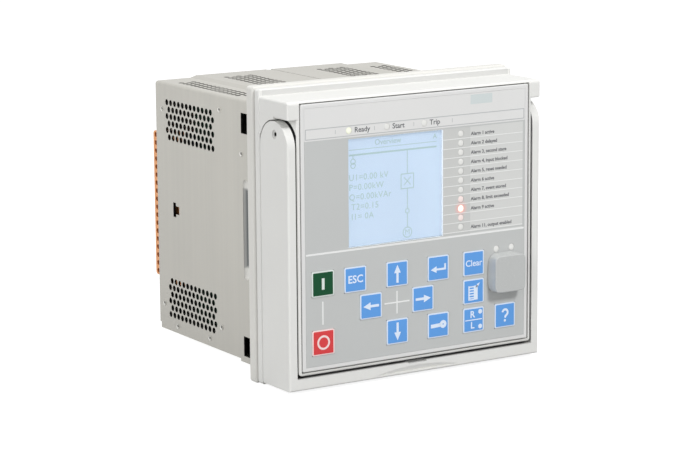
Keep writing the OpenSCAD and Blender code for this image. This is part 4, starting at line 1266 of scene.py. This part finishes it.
BENT_ARROW = joined(
    line_symbol([(4.7, 2.4), (4.7, -0.7), (-1.4, -0.7)], width=1.2),
    head_symbol([(-5.4, -0.7), (-1.4, -2.7), (-1.4, 1.3)]),
)
PAGE = joined(
    line_symbol([(-3.45, -5.2), (-3.45, 3.4)], width=0.9),
    line_symbol([(1.4, -5.2), (1.4, 3.4)], width=2.8),
    line_symbol(*[[(-3.0, z), (0.0, z)] for z in (2.85, 1.2, -0.45, -2.1, -3.75, -4.95)], width=0.75),
    head_symbol([(1.2, 2.0), (3.4, 3.0), (4.4, 5.0), (2.4, 4.2)]),
)
KEY_SHAPE = joined(
    line_symbol(circle(1.4, 24) + (3.3, 0.3), closed=True, width=1.9),
    line_symbol([(1.2, 0.0), (-5.4, -0.3)], width=2.2),
)
REMOTE_LOCAL = joined(
    letter_symbol("R", 0.9, (-0.9, 3.2)),
    letter_symbol("L", 0.9, (-0.9, -3.4)),
    line_symbol([(-6.0, 0.0), (6.0, 0.0)], width=0.6),
    dot_symbol(1.4, (4.7, 4.6)),
    dot_symbol(1.4, (4.7, -4.4)),
)

KEY_SYMBOLS = {
    "key_close": line_symbol([(0, -3.3), (0, 3.3)], width=1.8),
    "key_open": line_symbol(circle(3.65, 40), closed=True, width=1.2),
    "key_escape": letter_symbol("ESC"),
    "key_up": arrow_symbol(np.pi / 2),
    "key_left": arrow_symbol(np.pi),
    "key_right": arrow_symbol(0),
    "key_down": arrow_symbol(-np.pi / 2),
    "key_enter": BENT_ARROW,
    "key_lock": KEY_SHAPE,
    "key_clear": letter_symbol("Clear", 0.85, bold=0.06),
    "key_menu": PAGE,
    "key_mode": REMOTE_LOCAL,
    "key_help": question_symbol(),
}


class RELAY_OT_keys(bpy.types.Operator):
    """Give each key a pale body, a coloured field and a symbol"""

    bl_idname = "relay.keys"
    bl_label = "Keys"

    def execute(self, context):
        sizes = context.scene.relay_sizes
        colours = context.scene.relay_colours
        body_material = moulded("key_border", colours.key_border, roughness=0.4)
        symbol_material = moulded("key_symbol", colours.key_symbol, roughness=0.5)
        fields = {"key_close": ("key_green", colours.key_green), "key_open": ("key_red", colours.key_red)}
        tints = {
            "key_close": moulded("key_border_green", paint(220, 229, 224), roughness=0.4),
            "key_open": moulded("key_border_red", paint(246, 220, 219), roughness=0.4),
        }
        field_half = KEY_HALF - sizes.border / MM
        crown = sizes.key_crown / MM
        ink = sizes.ink / MM
        cap_outline = round_rect(KEY_HALF, KEY_HALF, KEY_CORNER_R)
        field_outline = round_rect(field_half, field_half, KEY_FIELD_R)
        foil_gap = 0.02
        edge_drop = 0.06
        cap_rise = 0.03
        top_share = 0.985
        for node, symbol in KEY_SYMBOLS.items():
            slot, colour = fields.get(node, ("key_blue", colours.key_blue))
            centre = key_centre(node)
            face = cad_mm(node)[0][1]
            pale = tints.get(node, body_material)
            dress([node], pale)
            cap_depths = [FACE_Y - foil_gap, face + edge_drop, face - cap_rise]
            cap = lofted(cap_outline, centre, [1, 1, top_share], cap_depths)
            make_piece(f"{node}_cap", [cap], pale, node)
            field_material = moulded(slot, colour, roughness=0.5, specular=0.15)
            field = cushion(field_outline, centre, face, face - KEY_FIELD_RISE, crown)
            make_piece(f"{node}_field", [field], field_material, node)
            marking = tints.get(node, symbol_material)
            parts = symbol(centre, face, face - KEY_FIELD_RISE - crown - ink)
            make_piece(f"{node}_symbol", parts, marking, node)
        return {"FINISHED"}


class RELAY_OT_port_cover(bpy.types.Operator):
    """Shape the pull-off cover of the front port: a round foot that turns into a square face, with a
    spigot behind"""

    bl_idname = "relay.port_cover"
    bl_label = "Port cover"

    def execute(self, context):
        low, high = cad_mm("port_cover")
        centre = (low + high) / 2
        front = low[1]
        foil_gap = 0.3
        side_end = 0.8
        side_power = 1.3
        spigot_r = 1.0
        spigot_bed = 1.0
        seat = FACE_Y - foil_gap
        foot = superellipse(half_w=11.65, half_h=12.15, power=4.2)
        face = superellipse(half_w=11.0, half_h=11.1, power=8.0)
        rise = np.linspace(0, 1, 9)
        share = rise ** side_power
        edge = np.array([0.998, 0.99, 0.975, 0.96, 0.94, 0.5])
        edge_depth = np.array([0.6, 0.3, 0.08, 0.0, 0.0, 0.0])
        sides = (1 - share)[:, None, None] * foot + share[:, None, None] * face
        rings = np.concatenate([sides, edge[:, None, None] * face])
        depth = np.concatenate([seat + rise * (front + side_end - seat), front + edge_depth])
        body = np.empty((len(rings), len(foot), 3))
        body[:, :, 0] = rings[:, :, 0] + centre[0]
        body[:, :, 1] = depth[:, None]
        body[:, :, 2] = rings[:, :, 1] + centre[2]
        spigot_outline = round_rect(SPIGOT_W / 2, SPIGOT_H / 2, spigot_r)
        spigot = slab(spigot_outline, centre[[0, 2]], high[1], seat - spigot_bed)
        cover = make_piece("port_cover_shell", [carried(body), spigot],
                           moulded("cover_grey", context.scene.relay_colours.cover, roughness=0.25),
                           "port_cover")
        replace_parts(cover, "port_cover")
        return {"FINISHED"}


class RELAY_OT_inside(bpy.types.Operator):
    """Finish the parts inside the plug-in unit"""

    bl_idname = "relay.inside"
    bl_label = "Inner parts"

    def execute(self, context):
        dress(["display_board", "power_board", "io_board", "analogue_board", "processor_board"],
              moulded("board_green", paint(24, 66, 44), roughness=0.5, grain=600.0, specular=0.3))
        dress(["key_mat"], moulded("mat_rubber", paint(120, 122, 124), roughness=0.75))
        dress(["port_jack", "board_plugs"], dark_plastic())
        dress(["chassis_frame"], moulded("chassis_black", paint(22, 23, 25), roughness=0.6, specular=0.2))
        dress(["chassis_screws"], steel())
        dress(["capacitors"], moulded("capacitor_sleeve", paint(34, 40, 62), roughness=0.35))
        dress(["heat_sink"], metal("aluminium", paint(196, 198, 200), roughness=0.35))
        dress(["output_relays"], moulded("relay_case", paint(226, 226, 220), roughness=0.4))
        dress(["input_transformers"], moulded("transformer_core", paint(60, 56, 54), roughness=0.6))
        dress(["processor_chips"], moulded("chip_black", paint(28, 29, 31), roughness=0.5))
        return {"FINISHED"}


class RELAY_OT_stage(bpy.types.Operator):
    """Set the floor, the lights, the surroundings and the camera"""

    bl_idname = "relay.stage"
    bl_label = "Stage"

    def execute(self, context):
        self.floor(context.scene)
        self.surroundings(context.scene)
        for name, place, size, power in LIGHTS:
            self.soft_light(context.scene, name, place, size, power)
        self.camera(context.scene)
        context.scene.view_settings.view_transform = "Standard"
        return {"FINISHED"}

    def floor(self, scene):
        """Pale level floor: a grid at the foot of the part, from minus to plus its reach in x and y."""
        reach = 12.0
        gap = 0.2 * MM
        side = np.linspace(-reach, reach, 3)
        across, along = np.meshgrid(side, side)
        level = np.full(across.size, LOWEST_Z - gap)
        points = np.stack([across.ravel(), along.ravel(), level], axis=1)
        start = np.array([0, 1, 3, 4])[:, None]
        faces = start + np.array([0, 1, 4, 3])[None, :]
        mesh = bpy.data.meshes.new("floor")
        mesh.from_pydata(points.tolist(), [], faces.tolist())
        mesh.materials.append(self.floor_material())
        floor = bpy.data.objects.new("floor", mesh)
        scene.collection.objects.link(floor)

    def seen_directly(self, tree):
        """One where a ray comes from the camera, a mirror-like surface or through glass."""
        path = tree.nodes.new("ShaderNodeLightPath").outputs
        either = math(tree, "MAXIMUM", path["Is Camera Ray"], path["Is Glossy Ray"])
        return math(tree, "MAXIMUM", either, path["Is Transmission Ray"])

    def floor_material(self):
        """White floor that gives off some light towards the camera, so that its shadow stays faint."""
        material, tree, shader = new_material("floor_white")
        grey = 0.4
        own_light = 0.88
        shader.inputs["Base Color"].default_value = (grey, grey, grey, 1)
        shader.inputs["Roughness"].default_value = 1.0
        shader.inputs["Specular IOR Level"].default_value = 0.0
        shader.inputs["Emission Color"].default_value = (1, 1, 1, 1)
        strength = math(tree, "MULTIPLY", self.seen_directly(tree), own_light)
        tree.links.new(strength, shader.inputs["Emission Strength"])
        return material

    def surroundings(self, scene):
        """Even white light from all sides, white where it is seen."""
        world = scene.world or bpy.data.worlds.new("surroundings")
        scene.world = world
        world.use_nodes = True
        tree = world.node_tree
        background = tree.nodes["Background"]
        background.inputs["Color"].default_value = (1, 1, 1, 1)
        lighting_level = 0.35
        extra = math(tree, "MULTIPLY", self.seen_directly(tree), 1 - lighting_level)
        tree.links.new(math(tree, "ADD", extra, lighting_level), background.inputs["Strength"])

    def soft_light(self, scene, name, place, size, power):
        """Square soft light that faces the part."""
        lamp = bpy.data.lights.new(name, "AREA")
        lamp.size = size
        lamp.energy = power
        holder = bpy.data.objects.new(name, lamp)
        aim = Vector((0, 0.03, 0))
        turn = (aim - Vector(place)).to_track_quat("-Z", "Y").to_matrix().to_4x4()
        holder.matrix_world = Matrix.Translation(place) @ turn
        scene.collection.objects.link(holder)

    def camera(self, scene):
        """Camera at the photographed view: turned by yaw, pitch and roll from looking along y."""
        view = bpy.data.cameras.new("camera")
        view.sensor_width = 36.0
        view.lens = 130.22
        view.clip_start = 0.01
        view.clip_end = 100.0
        place = (-0.8052, -1.24643, 0.27723)
        yaw = 0.56237
        pitch = -0.18831
        roll = -0.00673
        ahead = Vector((np.sin(yaw) * np.cos(pitch), np.cos(yaw) * np.cos(pitch), np.sin(pitch)))
        level_right = Vector((np.cos(yaw), -np.sin(yaw), 0))
        level_up = level_right.cross(ahead)
        right = level_right * np.cos(roll) + level_up * np.sin(roll)
        up = level_up * np.cos(roll) - level_right * np.sin(roll)
        turn = Matrix((right, up, -ahead)).transposed().to_4x4()
        holder = bpy.data.objects.new("camera", view)
        holder.matrix_world = Matrix.Translation(place) @ turn
        scene.collection.objects.link(holder)
        scene.camera = holder


STEPS = (RELAY_OT_case, RELAY_OT_rear, RELAY_OT_front, RELAY_OT_print, RELAY_OT_display, RELAY_OT_lamps,
         RELAY_OT_keys, RELAY_OT_port_cover, RELAY_OT_inside, RELAY_OT_stage)


class RELAY_PT_panel(bpy.types.Panel):
    """Steps and values of the relay's looks"""

    bl_idname = "RELAY_PT_panel"
    bl_label = "Protection relay"
    bl_space_type = "VIEW_3D"
    bl_region_type = "UI"
    bl_category = "Relay"

    def draw(self, context):
        for step in STEPS:
            self.layout.operator(step.bl_idname)
        for group in (context.scene.relay_sizes, context.scene.relay_colours):
            for name in group.__annotations__:
                self.layout.prop(group, name)


CLASSES = (RelaySizes, RelayColours, *STEPS, RELAY_PT_panel)


def register():
    for each in CLASSES:
        bpy.utils.register_class(each)
    bpy.types.Scene.relay_sizes = PointerProperty(type=RelaySizes)
    bpy.types.Scene.relay_colours = PointerProperty(type=RelayColours)


def unregister():
    del bpy.types.Scene.relay_colours
    del bpy.types.Scene.relay_sizes
    for each in reversed(CLASSES):
        bpy.utils.unregister_class(each)


def main():
    register()
    bpy.ops.relay.case()
    bpy.ops.relay.rear()
    bpy.ops.relay.front()
    bpy.ops.relay.print()
    bpy.ops.relay.display()
    bpy.ops.relay.lamps()
    bpy.ops.relay.keys()
    bpy.ops.relay.port_cover()
    bpy.ops.relay.inside()
    bpy.ops.relay.stage()


if __name__ == "__main__":
    main()
